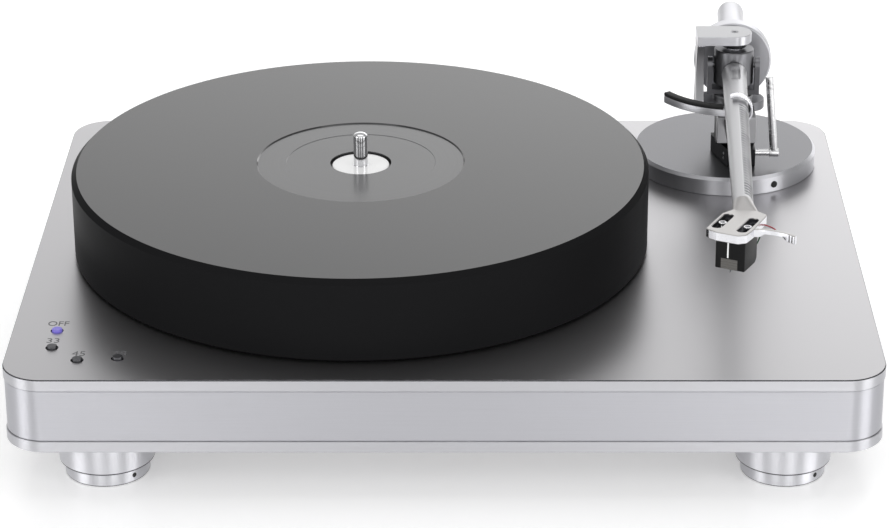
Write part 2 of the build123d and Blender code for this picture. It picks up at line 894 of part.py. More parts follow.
with BuildPart() as base_grub_screw:
    with BuildSketch(
        Plane(
            origin=post_axis_point + base_grub_outward * (grub_reach - base_grub_inset),
            z_dir=base_grub_outward,
        )
    ):
        Circle(base_grub_radius)
    extrude(amount=-base_grub_length)
finish(base_grub_screw, "base_grub_screw")

# Post, which slides in the base to set the arm's height
with BuildPart() as arm_post:
    with BuildSketch(arm_deck_plane.offset(-post_depth)):
        Circle(post_radius)
    extrude(amount=post_depth + bracket_lift)
    with Locations(arm_deck_plane.offset(bracket_lift)):
        Hole(bracket_screw_radius, depth=bracket_screw_length - bracket_plate_thick)
finish(arm_post, "arm_post")

# Bearing bracket in three milled pieces: foot, hourglass side and roof
bracket_left = bracket_side_inner + bracket_side_thick
bracket_seat = bracket_lift + bracket_plate_thick
bracket_roof = bracket_seat + bracket_opening


def make_bracket_plate(name, lift, reach, hole_radius, head_radius, head_height):
    """A flat tongue from the bracket's left face to a half round end, drilled for a screw."""
    with BuildPart() as plate:
        with BuildSketch(arm_deck_plane.offset(lift)):
            with Locations(((reach - bracket_left) / 2, 0)):
                Rectangle(bracket_left + reach, 2 * bracket_half_depth)
            with Locations((reach, 0)):
                Circle(bracket_half_depth)
        extrude(amount=bracket_plate_thick)
        with Locations(arm_deck_plane.offset(lift + bracket_plate_thick)):
            CounterBoreHole(hole_radius, head_radius, head_height)
    finish(plate, name)


make_bracket_plate(
    "bracket_base",
    bracket_lift,
    bracket_foot_reach,
    bracket_screw_radius,
    bracket_screw_head_radius,
    bracket_screw_head_height,
)
make_bracket_plate(
    "bracket_top",
    bracket_roof,
    0,
    roof_screw_radius,
    roof_screw_head_radius,
    roof_screw_head_height,
)

with BuildPart() as bracket_screws:
    with BuildSketch(arm_deck_plane.offset(bracket_seat)):
        Circle(bracket_screw_head_radius)
    extrude(amount=-bracket_screw_head_height)
    with BuildSketch(arm_deck_plane.offset(bracket_seat)):
        Circle(bracket_screw_radius)
    extrude(amount=-bracket_screw_length)
    with BuildSketch(arm_deck_plane.offset(bracket_roof + bracket_plate_thick)):
        Circle(roof_screw_head_radius)
    extrude(amount=-roof_screw_head_height)
    with BuildSketch(arm_deck_plane.offset(bracket_roof + bracket_plate_thick)):
        Circle(roof_screw_radius)
    extrude(amount=-(bracket_plate_thick + roof_screw_bite))
finish(bracket_screws, "bracket_screws")

bracket_side_plane = Plane(
    origin=(arm_x - bracket_left, arm_y, deck_z), x_dir=(0, 1, 0), z_dir=(1, 0, 0)
)
bracket_waist_z = bracket_seat + bracket_opening / 2
with BuildPart() as bracket_side:
    with BuildSketch(bracket_side_plane):
        with BuildLine():
            Line((bracket_half_depth, bracket_seat), (-bracket_half_depth, bracket_seat))
            ThreePointArc(
                (-bracket_half_depth, bracket_seat),
                (-bracket_waist_half_depth, bracket_waist_z),
                (-bracket_half_depth, bracket_roof),
            )
            Line((-bracket_half_depth, bracket_roof), (bracket_half_depth, bracket_roof))
            ThreePointArc(
                (bracket_half_depth, bracket_roof),
                (bracket_waist_half_depth, bracket_waist_z),
                (bracket_half_depth, bracket_seat),
            )
        make_face()
    extrude(amount=bracket_side_thick)
finish(bracket_side, "bracket_side")

# Upper magnet in its holder under the bracket's roof
magnet_holder_lift = bracket_roof - magnet_holder_height
with BuildPart() as upper_magnet_holder:
    with BuildSketch(arm_deck_plane.offset(magnet_holder_lift)):
        Circle(magnet_holder_radius)
    extrude(amount=magnet_holder_height)
    with BuildSketch(arm_deck_plane.offset(magnet_holder_lift)):
        Circle(magnet_radius)
    extrude(amount=magnet_inset + magnet_height, mode=Mode.SUBTRACT)
    with Locations(arm_deck_plane.offset(bracket_roof)):
        Hole(roof_screw_radius, depth=roof_screw_bite)
finish(upper_magnet_holder, "upper_magnet_holder")

with BuildPart() as upper_magnet:
    with BuildSketch(arm_deck_plane.offset(magnet_holder_lift + magnet_inset)):
        Circle(magnet_radius)
    extrude(amount=magnet_height)
finish(upper_magnet, "upper_magnet")

# Lower bearing cup, with a pocket for the yoke's stub
with BuildPart() as bearing_cup:
    with BuildSketch(arm_deck_plane.offset(bracket_seat)):
        Circle(cup_radius)
    extrude(amount=cup_height)
    with BuildSketch(arm_deck_plane.offset(bracket_seat + cup_floor)):
        Circle(cup_radius - cup_rim)
        Circle(yoke_stub_radius + cup_rim, mode=Mode.SUBTRACT)
    extrude(amount=cup_height - cup_floor, mode=Mode.SUBTRACT)
    with BuildSketch(arm_deck_plane.offset(bracket_seat + cup_floor)):
        Circle(yoke_stub_radius + running_gap)
    extrude(amount=cup_height - cup_floor, mode=Mode.SUBTRACT)
finish(bearing_cup, "bearing_cup")

# Yoke: a bar that turns in the cup and two ears that carry the arm
yoke_bar_lift = bracket_seat + cup_height + yoke_above_cup
yoke_bar_drop = arm_axis_lift - yoke_bar_lift
yoke_outer = yoke_inner + yoke_arm_thick
stub_drop = arm_axis_lift - bracket_seat - cup_floor - running_gap
yoke_plane = Plane(origin=pivot, x_dir=level_along, z_dir=(0, 0, 1))


def ear_plane(side):
    """An upright plane across the pivot's pins at a distance out to the right, with y down."""
    return Plane(origin=pivot + aside * side, x_dir=level_along, z_dir=aside)


with BuildPart() as bearing_yoke:
    with BuildSketch(yoke_plane.offset(-yoke_bar_drop)):
        Rectangle(2 * yoke_half_width, 2 * yoke_outer)
    extrude(amount=yoke_bar_thick)
    for ear_side in (-yoke_outer, yoke_inner):
        with BuildSketch(ear_plane(ear_side)):
            Circle(yoke_half_width)
            with Locations((0, yoke_bar_drop / 2)):
                Rectangle(2 * yoke_half_width, yoke_bar_drop)
        extrude(amount=yoke_arm_thick)
    with BuildSketch(yoke_plane.offset(-stub_drop)):
        Circle(yoke_stub_radius)
    extrude(amount=stub_drop - yoke_bar_drop)
    with BuildSketch(ear_plane(-yoke_outer)):
        Circle(pivot_pin_radius)
    extrude(amount=2 * yoke_outer, mode=Mode.SUBTRACT)
finish(bearing_yoke, "bearing_yoke")

pin_tip = yoke_inner - pivot_pin_reach
with BuildPart() as yoke_pivots:
    for pin_side in (-yoke_outer, pin_tip):
        with BuildSketch(ear_plane(pin_side)):
            Circle(pivot_pin_radius)
        extrude(amount=yoke_outer - pin_tip)
finish(yoke_pivots, "yoke_pivots")

# Bearing drum with the neck and the spigot that the tube is fixed on
with BuildPart() as bearing_drum:
    with BuildSketch(arm_plane.offset(-drum_below_axis)):
        Circle(drum_radius)
        with Locations((-drum_radius - drum_rear_flat, 0)):
            Rectangle(2 * drum_radius, 2 * drum_radius, mode=Mode.SUBTRACT)
    extrude(amount=drum_below_axis + drum_above_axis)
    chamfer(bearing_drum.edges().filter_by(GeomType.CIRCLE), drum_edge_break)
    with BuildSketch(arm_section(neck_root)):
        Circle(neck_radius)
    extrude(amount=tube_start - neck_root)
    with BuildSketch(arm_section(tube_start)):
        Circle(tube_bore_radius)
    extrude(amount=spigot_length)
    with BuildSketch(arm_plane.offset(drum_above_axis)):
        Circle(magnet_radius)
    extrude(amount=-magnet_inset, mode=Mode.SUBTRACT)
    for pin_side in (-1, 1):
        with BuildSketch(Plane(origin=pivot + aside * (drum_radius * pin_side), z_dir=aside * pin_side)):
            Circle(pivot_pin_radius + running_gap)
        extrude(amount=-(drum_radius - pin_tip + clearance), mode=Mode.SUBTRACT)
finish(bearing_drum, "bearing_drum")

# Tapered arm tube, bored through for the head's wires
with BuildPart() as arm_tube:
    with BuildSketch(arm_length_plane):
        with BuildLine():
            Polyline(
                (tube_start, tube_bore_radius),
                (tube_start, tube_rear_radius),
                (tube_end, tube_front_radius),
                (tube_end, tube_bore_radius),
                close=True,
            )
        make_face()
    revolve(axis=Axis(pivot, along))
finish(arm_tube, "arm_tube")

# Rear shaft and the counterweight that slides on it
with BuildPart() as counterweight_shaft:
    with BuildSketch(arm_section(-drum_rear_flat)):
        Circle(rear_shaft_radius)
    extrude(amount=-(rear_shaft_end - drum_rear_flat))
    chamfer(counterweight_shaft.edges().group_by(Axis(pivot, along))[0], rear_shaft_break)
finish(counterweight_shaft, "counterweight_shaft")

with BuildPart() as counterweight:
    with BuildSketch(arm_section(-weight_start)):
        with Locations((0, -weight_drop)):
            Circle(weight_radius)
    extrude(amount=-weight_thick)
    chamfer(counterweight.edges().filter_by(GeomType.CIRCLE), weight_edge_break)
    with BuildSketch(arm_section(-weight_start)):
        Circle(rear_shaft_radius + running_gap)
    extrude(amount=-weight_thick, mode=Mode.SUBTRACT)
finish(counterweight, "counterweight")

# Headshell: a slotted plate on its own axis, with the neck, the spigot and the finger lift.
# On its plane x runs to the nose and y to the right, from the point over the stylus line.
turn_sin = math.sin(math.radians(shell_turn_angle))
turn_cos = math.cos(math.radians(shell_turn_angle))
shell_along = along * turn_cos - aside * turn_sin
shell_aside = aside * turn_cos + along * turn_sin
shell_origin = arm_point(shell_reach, -shell_left_of_arm, shell_top_above_axis)
shell_plane = Plane(origin=shell_origin, x_dir=shell_along, z_dir=above)
shell_bottom_plane = shell_plane.offset(-shell_thick)
shell_tail = shell_length - shell_nose
shell_outline = [
    (length_share * shell_length - shell_tail, width_share * shell_width - shell_left)
    for length_share, width_share in shell_outline_shares
]
screw_spots = [(-screws_behind_stylus, side * slot_spacing / 2) for side in (-1, 1)]
finger_root = (-finger_root_back, finger_root_right)
finger_tip = (-finger_root_back - finger_sweep, finger_root_right + finger_reach)
finger_middle = (
    -finger_root_back - finger_sweep / 2 - finger_bow,
    finger_root_right + finger_reach / 2,
)
with BuildPart() as head_shell:
    with BuildSketch(shell_bottom_plane):
        with BuildLine():
            Polyline(*shell_outline, close=True)
        make_face()
        fillet(vertices(), shell_corner)
    extrude(amount=shell_thick)
    with BuildSketch(arm_section(tube_end)):
        Circle(tube_front_radius)
    with BuildSketch(arm_section(shell_neck_end)):
        with Locations((shell_neck_right, shell_top_above_axis - shell_thick / 2)):
            Rectangle(shell_neck_width, shell_thick - 2 * shell_neck_inset)
    loft()
    with BuildSketch(arm_section(tube_end)):
        Circle(tube_bore_radius)
    extrude(amount=-spigot_length)
    with BuildSketch(shell_plane):
        with Locations(*screw_spots):
            SlotOverall(slot_length, slot_width)
    extrude(amount=-shell_thick, mode=Mode.SUBTRACT)
    with BuildSketch(shell_plane.offset(-finger_below_top)):
        with BuildLine():
            ThreePointArc(finger_root, finger_middle, finger_tip)
        trace(line_width=finger_width)
    extrude(amount=-finger_height)
finish(head_shell, "head_shell")

# Cartridge, screwed up against the plate, with its removable stylus guard in front
body_middle = (cartridge_nose - cartridge_length / 2, cartridge_right_of_axis)
guard_middle = (cartridge_nose - guard_depth / 2, cartridge_right_of_axis - guard_left)
body_foot_plane = shell_bottom_plane.offset(-cartridge_height)
with BuildPart() as cartridge_body:
    with BuildSketch(shell_bottom_plane):
        with Locations(body_middle):
            Rectangle(cartridge_length, cartridge_width)
    extrude(amount=-cartridge_height)
    heel_edges = cartridge_body.edges().group_by(Axis(shell_origin, above))[0]
    chamfer(heel_edges.sort_by(Axis(shell_origin, shell_along))[0], cartridge_heel)
    front_edges = cartridge_body.edges().group_by(Axis(shell_origin, shell_along))[-1]
    chamfer(front_edges.filter_by(Axis(shell_origin, above)), cartridge_edge_break)
    with BuildSketch(shell_bottom_plane):
        with Locations((-screws_behind_stylus, 0)):
            Rectangle(ear_length, ear_width)
    extrude(amount=-ear_thick)
    with BuildSketch(body_foot_plane):
        with Locations(guard_middle):
            Rectangle(guard_depth, guard_width)
    extrude(amount=guard_height, mode=Mode.SUBTRACT)
    with BuildSketch(shell_bottom_plane):
        with Locations(*screw_spots):
            Circle(cartridge_screw_radius)
    extrude(amount=-ear_thick, mode=Mode.SUBTRACT)
finish(cartridge_body, "cartridge_body")

with BuildPart() as stylus_guard:
    with BuildSketch(body_foot_plane.offset(guard_rise)):
        with Locations(guard_middle):
            Rectangle(guard_depth, guard_width)
    extrude(amount=guard_height - guard_rise)
finish(stylus_guard, "stylus_guard")

# Cantilever, leaning down from the guard to the stylus tip just above the platter
tip_foot = shell_origin + shell_aside * stylus_right_of_axis
tip_drop = (tip_foot.Z - platter_top_z - stylus_above_platter) / above.Z
stylus_tip = tip_foot - above * tip_drop
guard_foot_drop = shell_thick + cartridge_height - guard_rise
cantilever_start = (
    shell_origin
    + shell_aside * stylus_right_of_axis
    - shell_along * cantilever_back
    - above * guard_foot_drop
)
cantilever_direction = (stylus_tip - cantilever_start).normalized()
with BuildPart() as stylus_cantilever:
    with BuildSketch(Plane(origin=stylus_tip, z_dir=cantilever_direction * -1)):
        Circle(cantilever_radius)
    extrude(amount=(stylus_tip - cantilever_start).length - cantilever_radius)
finish(stylus_cantilever, "stylus_cantilever")

with BuildPart() as cartridge_screws:
    with BuildSketch(shell_bottom_plane.offset(-ear_thick)):
        with Locations(*screw_spots):
            Circle(cartridge_screw_radius)
    extrude(amount=ear_thick + shell_thick)
    with BuildSketch(shell_plane):
        with Locations(*screw_spots):
            Circle(cartridge_screw_head_radius)
    extrude(amount=cartridge_screw_head_height)
finish(cartridge_screws, "cartridge_screws")

# Lift block: a ledge behind a slanted left face, and a tower up to the bracket, round the post
lever_axis_plane = Plane(
    origin=(arm_x, arm_y - lever_axis_front, deck_z + lever_axis_lift), x_dir=(0, 1, 0), z_dir=(1, 0, 0)
)
slant_back = Vector(-block_left_back, -block_back, 0)
slant_front = Vector(-block_left_front, -block_front, 0)
slant = slant_front - slant_back
slant_outward = Vector(slant.Y, -slant.X, 0).normalized()
slant_point = Vector(arm_x, arm_y, deck_z + housing_screw_lift) + slant_back + slant * housing_screw_share
slant_plane = Plane(origin=slant_point, x_dir=slant.normalized(), z_dir=slant_outward)
with BuildPart() as lift_block:
    with BuildSketch(arm_deck_plane.offset(block_lift)):
        with BuildLine():
            Polyline(
                (-block_left_back, -block_back),
                (-block_left_front, -block_front),
                (block_right, -block_front),
                (block_right, -ledge_back),
                (-block_left_back, -ledge_back),
                close=True,
            )
        make_face()
    extrude(amount=ledge_top - block_lift)
    with BuildSketch(arm_deck_plane.offset(ledge_top)):
        with Locations(((block_right - tower_left) / 2, -(tower_front + bracket_half_depth + clearance) / 2)):
            Rectangle(block_right + tower_left, tower_front - bracket_half_depth - clearance)
    extrude(amount=block_top - ledge_top)
    with BuildSketch(arm_deck_plane.offset(block_lift)):
        Circle(post_radius + running_gap)
    extrude(amount=block_top - block_lift, mode=Mode.SUBTRACT)
    with BuildSketch(lever_axis_plane.offset(lever_shaft_start - clearance)):
        Circle(lever_shaft_radius + running_gap)
    extrude(amount=block_right - lever_shaft_start + clearance, mode=Mode.SUBTRACT)
    with BuildSketch(slant_plane):
        with Locations((0, 0), (0, housing_screw_pitch)):
            Circle(housing_screw_radius)
    extrude(amount=-housing_screw_length, mode=Mode.SUBTRACT)
finish(lift_block, "lift_block")

with BuildPart() as housing_screws:
    with BuildSketch(slant_plane.offset(housing_screw_proud)):
        with Locations((0, 0), (0, housing_screw_pitch)):
            Circle(housing_screw_radius)
    extrude(amount=-(housing_screw_length + housing_screw_proud))
finish(housing_screws, "housing_screws")

# Housing of the lift, in front of the tower, with the bore of the lift's pin
lift_housing_middle = (lift_housing_front + tower_front) / 2
lift_housing_thick = lift_housing_front - tower_front
lift_pin_plane = Plane(origin=(arm_x - lift_pin_left, arm_y - lift_housing_middle, deck_z))
lift_pin_lift = lift_housing_top - lift_pin_in_housing
with BuildPart() as lift_housing:
    with BuildSketch(arm_deck_plane.offset(ledge_top)):
        with Locations(((lift_housing_right - tower_left) / 2, -lift_housing_middle)):
            Rectangle(lift_housing_right + tower_left, lift_housing_thick)
    extrude(amount=lift_housing_top - ledge_top)
    with BuildSketch(lift_pin_plane.offset(lift_housing_top)):
        Circle(lift_pin_radius + running_gap)
    extrude(amount=-(lift_pin_in_housing + lift_travel + clearance), mode=Mode.SUBTRACT)
finish(lift_housing, "lift_housing")


def bar_spot(angle, radius):
    """A spot about the post's axis, turned from straight ahead towards the platter."""
    turn = math.radians(angle)
    return (-radius * math.sin(turn), -radius * math.cos(turn))


# Curved lift bar on its pin, with a rubber pad under the tonearm's path
lift_bar_middle = (lift_bar_start_angle + lift_bar_end_angle) / 2
lift_pad_middle = (lift_pad_start_angle + lift_bar_end_angle) / 2
with BuildPart() as lift_bar:
    with BuildSketch(arm_deck_plane.offset(lift_bar_lift)):
        with BuildLine():
            ThreePointArc(
                bar_spot(lift_bar_start_angle, lift_bar_radius),
                bar_spot(lift_bar_middle, lift_bar_radius),
                bar_spot(lift_bar_end_angle, lift_bar_radius),
            )
        trace(line_width=lift_bar_width)
        with BuildLine():
            Line((-lift_pin_left, -lift_housing_middle), bar_spot(lift_bar_start_angle, lift_bar_radius))
        trace(line_width=lift_bar_width)
        with Locations((-lift_pin_left, -lift_housing_middle), bar_spot(lift_bar_start_angle, lift_bar_radius)):
            Circle(lift_bar_width / 2)
    extrude(amount=lift_bar_thick)
    with BuildSketch(lift_pin_plane.offset(lift_pin_lift)):
        Circle(lift_pin_radius)
    extrude(amount=lift_bar_lift + lift_bar_thick - lift_pin_lift)
finish(lift_bar, "lift_bar")

with BuildPart() as lift_pad:
    with BuildSketch(arm_deck_plane.offset(lift_bar_lift + lift_bar_thick)):
        with BuildLine():
            ThreePointArc(
                bar_spot(lift_pad_start_angle, lift_bar_radius),
                bar_spot(lift_pad_middle, lift_bar_radius),
                bar_spot(lift_bar_end_angle, lift_bar_radius),
            )
        trace(line_width=lift_bar_width)
    extrude(amount=lift_pad_thick)
finish(lift_pad, "lift_pad")

# Lever of the lift: a cross shaft in the block, and a polished stick in an eye on its end
with BuildPart() as cue_shaft:
    with BuildSketch(lever_axis_plane.offset(lever_shaft_start)):
        Circle(lever_shaft_radius)
    extrude(amount=lever_shaft_end - lever_shaft_start)
finish(cue_shaft, "cue_shaft")

lever_foot_x = arm_x + lever_shaft_end - lever_eye_width / 2
lever_foot = Vector(lever_foot_x, arm_y - lever_axis_front, deck_z + lever_axis_lift)
lever_turn = math.radians(lever_lean_angle)
lever_up = Vector(-math.sin(lever_turn), 0, math.cos(lever_turn))
with BuildPart() as cue_lever:
    with BuildSketch(lever_axis_plane.offset(lever_shaft_end - lever_eye_width)):
        Circle(lever_eye_radius)
    extrude(amount=lever_eye_width)
    with BuildSketch(Plane(origin=lever_foot, z_dir=lever_up)):
        Circle(lever_radius)
    extrude(amount=lever_height)
    for ring in range(lever_ring_count):
        ring_height = lever_height - lever_ring_from_top - ring * lever_ring_pitch
        with BuildSketch(Plane(origin=lever_foot + lever_up * ring_height, z_dir=lever_up)):
            Circle(lever_radius)
            Circle(lever_radius - lever_ring_depth, mode=Mode.SUBTRACT)
        extrude(amount=-lever_ring_height, mode=Mode.SUBTRACT)
    with BuildSketch(lever_axis_plane.offset(lever_shaft_end - lever_eye_width)):
        Circle(lever_shaft_radius)
    extrude(amount=lever_eye_width, mode=Mode.SUBTRACT)
finish(cue_lever, "cue_lever")

# Arm rest: a stem from the lift's housing, and a springy clip that is open towards the platter
clip_middle = arm_point(rest_along_arm)
clip_outer_radius = clip_inner_radius + clip_wall
stem_x = clip_middle.X - arm_x
stem_reach = arm_y - clip_middle.Y + clip_width / 2
stem_root = lift_housing_front
with BuildPart() as rest_stem:
    with BuildSketch(arm_deck_plane.offset(rest_stem_lift)):
        with Locations((stem_x, -(stem_root + stem_reach) / 2)):
            Rectangle(rest_stem_width, stem_reach - stem_root)
    extrude(amount=rest_stem_thick)
    with BuildSketch(arm_deck_plane.offset(rest_stem_lift + rest_stem_thick)):
        with Locations((stem_x, -stem_reach + clip_width / 2)):
            Rectangle(rest_stem_width, clip_width)
    extrude(amount=arm_axis_lift - clip_inner_radius - rest_stem_lift - rest_stem_thick)
    with BuildSketch(arm_section(rest_along_arm - clip_width)):
        Circle(clip_outer_radius)
    extrude(amount=2 * clip_width, mode=Mode.SUBTRACT)
finish(rest_stem, "rest_stem")

with BuildPart() as rest_clip:
    with BuildSketch(arm_section(rest_along_arm - clip_width / 2)):
        with BuildLine():
            CenterArc(
                (0, 0),
                clip_inner_radius + clip_wall / 2,
                clip_foot_angle,
                clip_opening_angle - clip_foot_angle,
            )
        trace(line_width=clip_wall)
    extrude(amount=clip_width)
finish(rest_clip, "rest_clip")
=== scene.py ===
"""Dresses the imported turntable: high-resolution pieces, procedural finishes, and a pale studio.

Sizes are millimetres in the part's own frame, where +Z is up, +X is the listener's right and -Y faces
the listener. Meshes are written in metres.
"""

import json
import logging
import math
from collections.abc import Callable, Iterable, Sequence
from dataclasses import dataclass, field
from enum import Enum

import bmesh
import bpy
import numpy as np
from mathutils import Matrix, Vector
from mathutils.geometry import tessellate_polygon

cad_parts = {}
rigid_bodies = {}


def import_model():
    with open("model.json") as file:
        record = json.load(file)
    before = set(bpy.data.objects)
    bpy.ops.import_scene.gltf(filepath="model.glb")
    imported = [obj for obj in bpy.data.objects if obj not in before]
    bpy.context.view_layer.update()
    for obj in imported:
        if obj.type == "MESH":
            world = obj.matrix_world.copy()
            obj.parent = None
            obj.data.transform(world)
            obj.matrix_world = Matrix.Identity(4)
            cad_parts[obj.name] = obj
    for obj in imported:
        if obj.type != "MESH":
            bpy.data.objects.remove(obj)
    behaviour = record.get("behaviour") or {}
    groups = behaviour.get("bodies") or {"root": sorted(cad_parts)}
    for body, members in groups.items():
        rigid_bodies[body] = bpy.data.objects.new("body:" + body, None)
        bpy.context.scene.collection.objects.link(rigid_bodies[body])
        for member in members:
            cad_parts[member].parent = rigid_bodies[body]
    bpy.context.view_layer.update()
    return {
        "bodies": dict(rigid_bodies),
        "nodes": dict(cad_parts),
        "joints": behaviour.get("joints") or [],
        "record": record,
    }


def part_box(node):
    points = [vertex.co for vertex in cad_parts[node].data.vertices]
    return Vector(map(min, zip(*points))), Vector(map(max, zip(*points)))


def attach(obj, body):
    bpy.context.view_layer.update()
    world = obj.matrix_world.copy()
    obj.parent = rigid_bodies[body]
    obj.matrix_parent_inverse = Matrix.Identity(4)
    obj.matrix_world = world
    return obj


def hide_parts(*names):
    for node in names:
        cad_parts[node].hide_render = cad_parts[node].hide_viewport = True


LOG = logging.getLogger("turntable")
MM = 0.001
# Points of an outline that are this close, in millimetres, are one point
SAME_POINT = 1e-6
# Corners of a mesh that are this close, in metres, are merged
WELD = 1e-6
# Edges that turn by more than this stay crisp
CRISP_FROM = math.radians(24)
# Faces of a CAD mesh that turn by less than this are merged
FLAT_UNDER = math.radians(0.2)
# Edges that turn by more than this take the live bevel, in so many steps
BEVEL_FROM = math.radians(32)
BEVEL_STEPS = 2
# A rounding takes at most this share of the sides beside it
ROUND_SHARE = 0.49
# A screw head's upper edge is broken by this much at most, in millimetres
HEAD_BREAK = 0.25
# The floor of its socket is this much wider than the hexagon
SOCKET_OVERLAP = 1.1
# Words are given this thickness, then stretched to their own in millimetres
LETTER_EXTRUDE = 0.02
LETTER_THICK = 0.08
# The brushed pattern is drawn out along x and y, so that its scratches are level
BRUSH_STRETCH = (0.012, 0.012, 1.0)


# Frames and shells


def unit(vector: Sequence[float]) -> np.ndarray:
    """Return the vector divided by its length."""
    array = np.asarray(vector, float)
    return array / np.linalg.norm(array)


@dataclass(frozen=True)
class Frame:
    """A place with three square directions. Turned shapes turn about its z."""

    origin: np.ndarray
    x: np.ndarray = field(default_factory=lambda: np.array([1.0, 0.0, 0.0]))
    y: np.ndarray = field(default_factory=lambda: np.array([0.0, 1.0, 0.0]))
    z: np.ndarray = field(default_factory=lambda: np.array([0.0, 0.0, 1.0]))

    @classmethod
    def level(cls, x: float = 0.0, y: float = 0.0, z: float = 0.0) -> "Frame":
        """Make a frame at a place, with the part's own directions."""
        return cls(np.array([x, y, z], float))

    @classmethod
    def facing(cls, origin: Sequence[float], z: Sequence[float], x: Sequence[float] = (1, 0, 0)) -> "Frame":
        """Make a frame from its z, with x as close to the given one as it goes.

        Args:
            origin: The frame's place in millimetres.
            z: Its main direction.
            x: A direction that its x leans towards.

        Returns:
            The frame, right-handed.
        """
        main = unit(z)
        first = unit(np.asarray(x, float) - main * float(np.dot(x, main)))
        return cls(np.asarray(origin, float), first, np.cross(main, first), main)

    def place(self, points: np.ndarray | Sequence[float]) -> np.ndarray:
        """Take points into the part's frame: origin plus each number times its direction."""
        return self.origin + np.asarray(points, float) @ np.stack([self.x, self.y, self.z])

    def moved(self, x: float = 0.0, y: float = 0.0, z: float = 0.0) -> "Frame":
        """Return this frame shifted along its own directions."""
        return Frame(self.place([x, y, z]), self.x, self.y, self.z)


@dataclass
class Shell:
    """Points in millimetres in the part's frame, and the faces over them."""

    points: np.ndarray
    faces: list[tuple[int, ...]]

    @staticmethod
    def joined(shells: Iterable["Shell"]) -> "Shell":
        """Put several shells into one, one after the other.

        Args:
            shells: The shells.

        Returns:
            One shell with all their faces.
        """
        parts = list(shells)
        starts = np.cumsum([0] + [len(part.points) for part in parts])
        faces = [
            tuple(corner + int(start) for corner in face)
            for part, start in zip(parts, starts)
            for face in part.faces
        ]
        return Shell(np.concatenate([part.points for part in parts]), faces)


def grid_faces(rows: int, columns: int) -> list[tuple[int, ...]]:
    """Join neighbouring points of a grid whose columns run round.

    Args:
        rows: Number of rings.
        columns: Number of points in a ring.

    Returns:
        The quads: point (i, j) with (i, j+1), (i+1, j+1) and (i+1, j).
    """
    row, column = np.meshgrid(np.arange(rows - 1), np.arange(columns), indexing="ij")
    after = (column + 1) % columns
    corners = (
        row * columns + column, row * columns + after, (row + 1) * columns + after,
        (row + 1) * columns + column,
    )
    return [tuple(quad) for quad in np.stack(corners, -1).reshape(-1, 4).tolist()]


def capped_faces(rows: int, columns: int) -> list[tuple[int, ...]]:
    """Join a grid as grid_faces does, and close its first and last ring.

    Args:
        rows: Number of rings.
        columns: Number of points in a ring.

    Returns:
        The quads and the two flat ends.
    """
    last = (rows - 1) * columns
    return grid_faces(rows, columns) + [tuple(range(columns)), tuple(range(last, last + columns))]


def circle(radius: float, steps: int = 64, centre: Sequence[float] = (0.0, 0.0)) -> np.ndarray:
    """Return a closed outline: centre plus radius times (cos t, sin t).

    Args:
        radius: The circle's radius.
        steps: Points round it.
        centre: Its middle.

    Returns:
        The points, anticlockwise.
    """
    turn = np.linspace(0, 2 * math.pi, steps, endpoint=False)
    return np.stack([centre[0] + radius * np.cos(turn), centre[1] + radius * np.sin(turn)], -1)


def rounded_box(
    width: float, depth: float, radius: float, steps: int = 8, centre: Sequence[float] = (0.0, 0.0)
) -> np.ndarray:
    """Return a rectangle whose four corners are quarter circles.

    Args:
        width: Its size along x.
        depth: Its size along y.
        radius: Radius of the corners.
        steps: Steps in each quarter.
        centre: Its middle.

    Returns:
        The points, anticlockwise: each corner's centre plus radius times (cos t, sin t).
    """
    quarter = np.arange(4)[:, None] * math.pi / 2 + np.linspace(0, math.pi / 2, steps + 1)[None, :]
    sign = np.array([[1, 1], [-1, 1], [-1, -1], [1, -1]])[:, None, :]
    corner = np.array([width / 2 - radius, depth / 2 - radius]) * sign
    points = corner + radius * np.stack([np.cos(quarter), np.sin(quarter)], -1)
    return points.reshape(-1, 2) + np.asarray(centre, float)


def slot_outline(length: float, width: float, centre: Sequence[float], steps: int = 12) -> np.ndarray:
    """Return a slot with half round ends, its length along x.

    Args:
        length: Overall length.
        width: Width, twice the radius of its ends.
        centre: Its middle.
        steps: Steps in each quarter of the ends.

    Returns:
        The points, anticlockwise.
    """
    return distinct(rounded_box(length, width, width / 2, steps, centre))


def distinct(line: np.ndarray) -> np.ndarray:
    """Leave out each point of a closed line that lies on the one before it."""
    return line[np.linalg.norm(line - np.roll(line, 1, 0), axis=1) > SAME_POINT]


def eased(
    corners: Sequence[Sequence[float]], radius: float, steps: int = 3, closed: bool = True
) -> np.ndarray:
    """Round the corners of a line.

    A corner p that turns by an angle a is cut back by radius times tan(a/2) on both sides, to the points
    b and c, and the line follows (1-t)^2 b + 2t(1-t) p + t^2 c between them.

    Args:
        corners: The line's corners.
        radius: Radius of the rounding.
        steps: Steps in each corner.
        closed: Whether the last corner joins the first.

    Returns:
        The rounded line.
    """
    line = np.asarray(corners, float)
    back = np.roll(line, 1, 0) - line
    ahead = np.roll(line, -1, 0) - line
    back_length = np.linalg.norm(back, axis=1, keepdims=True)
    ahead_length = np.linalg.norm(ahead, axis=1, keepdims=True)
    back, ahead = back / back_length, ahead / ahead_length
    turn = math.pi - np.arccos(np.clip((back * ahead).sum(1, keepdims=True), -1, 1))
    cut = np.minimum(radius * np.tan(turn / 2), ROUND_SHARE * np.minimum(back_length, ahead_length))
    share = np.linspace(0, 1, steps + 1)[None, :, None]
    start, end = (line + back * cut)[:, None], (line + ahead * cut)[:, None]
    bent = (1 - share) ** 2 * start + 2 * share * (1 - share) * line[:, None] + share**2 * end
    if not closed:
        bent[0], bent[-1] = line[0], line[-1]
    return distinct(bent.reshape(-1, line.shape[1])) if closed else bent.reshape(-1, line.shape[1])


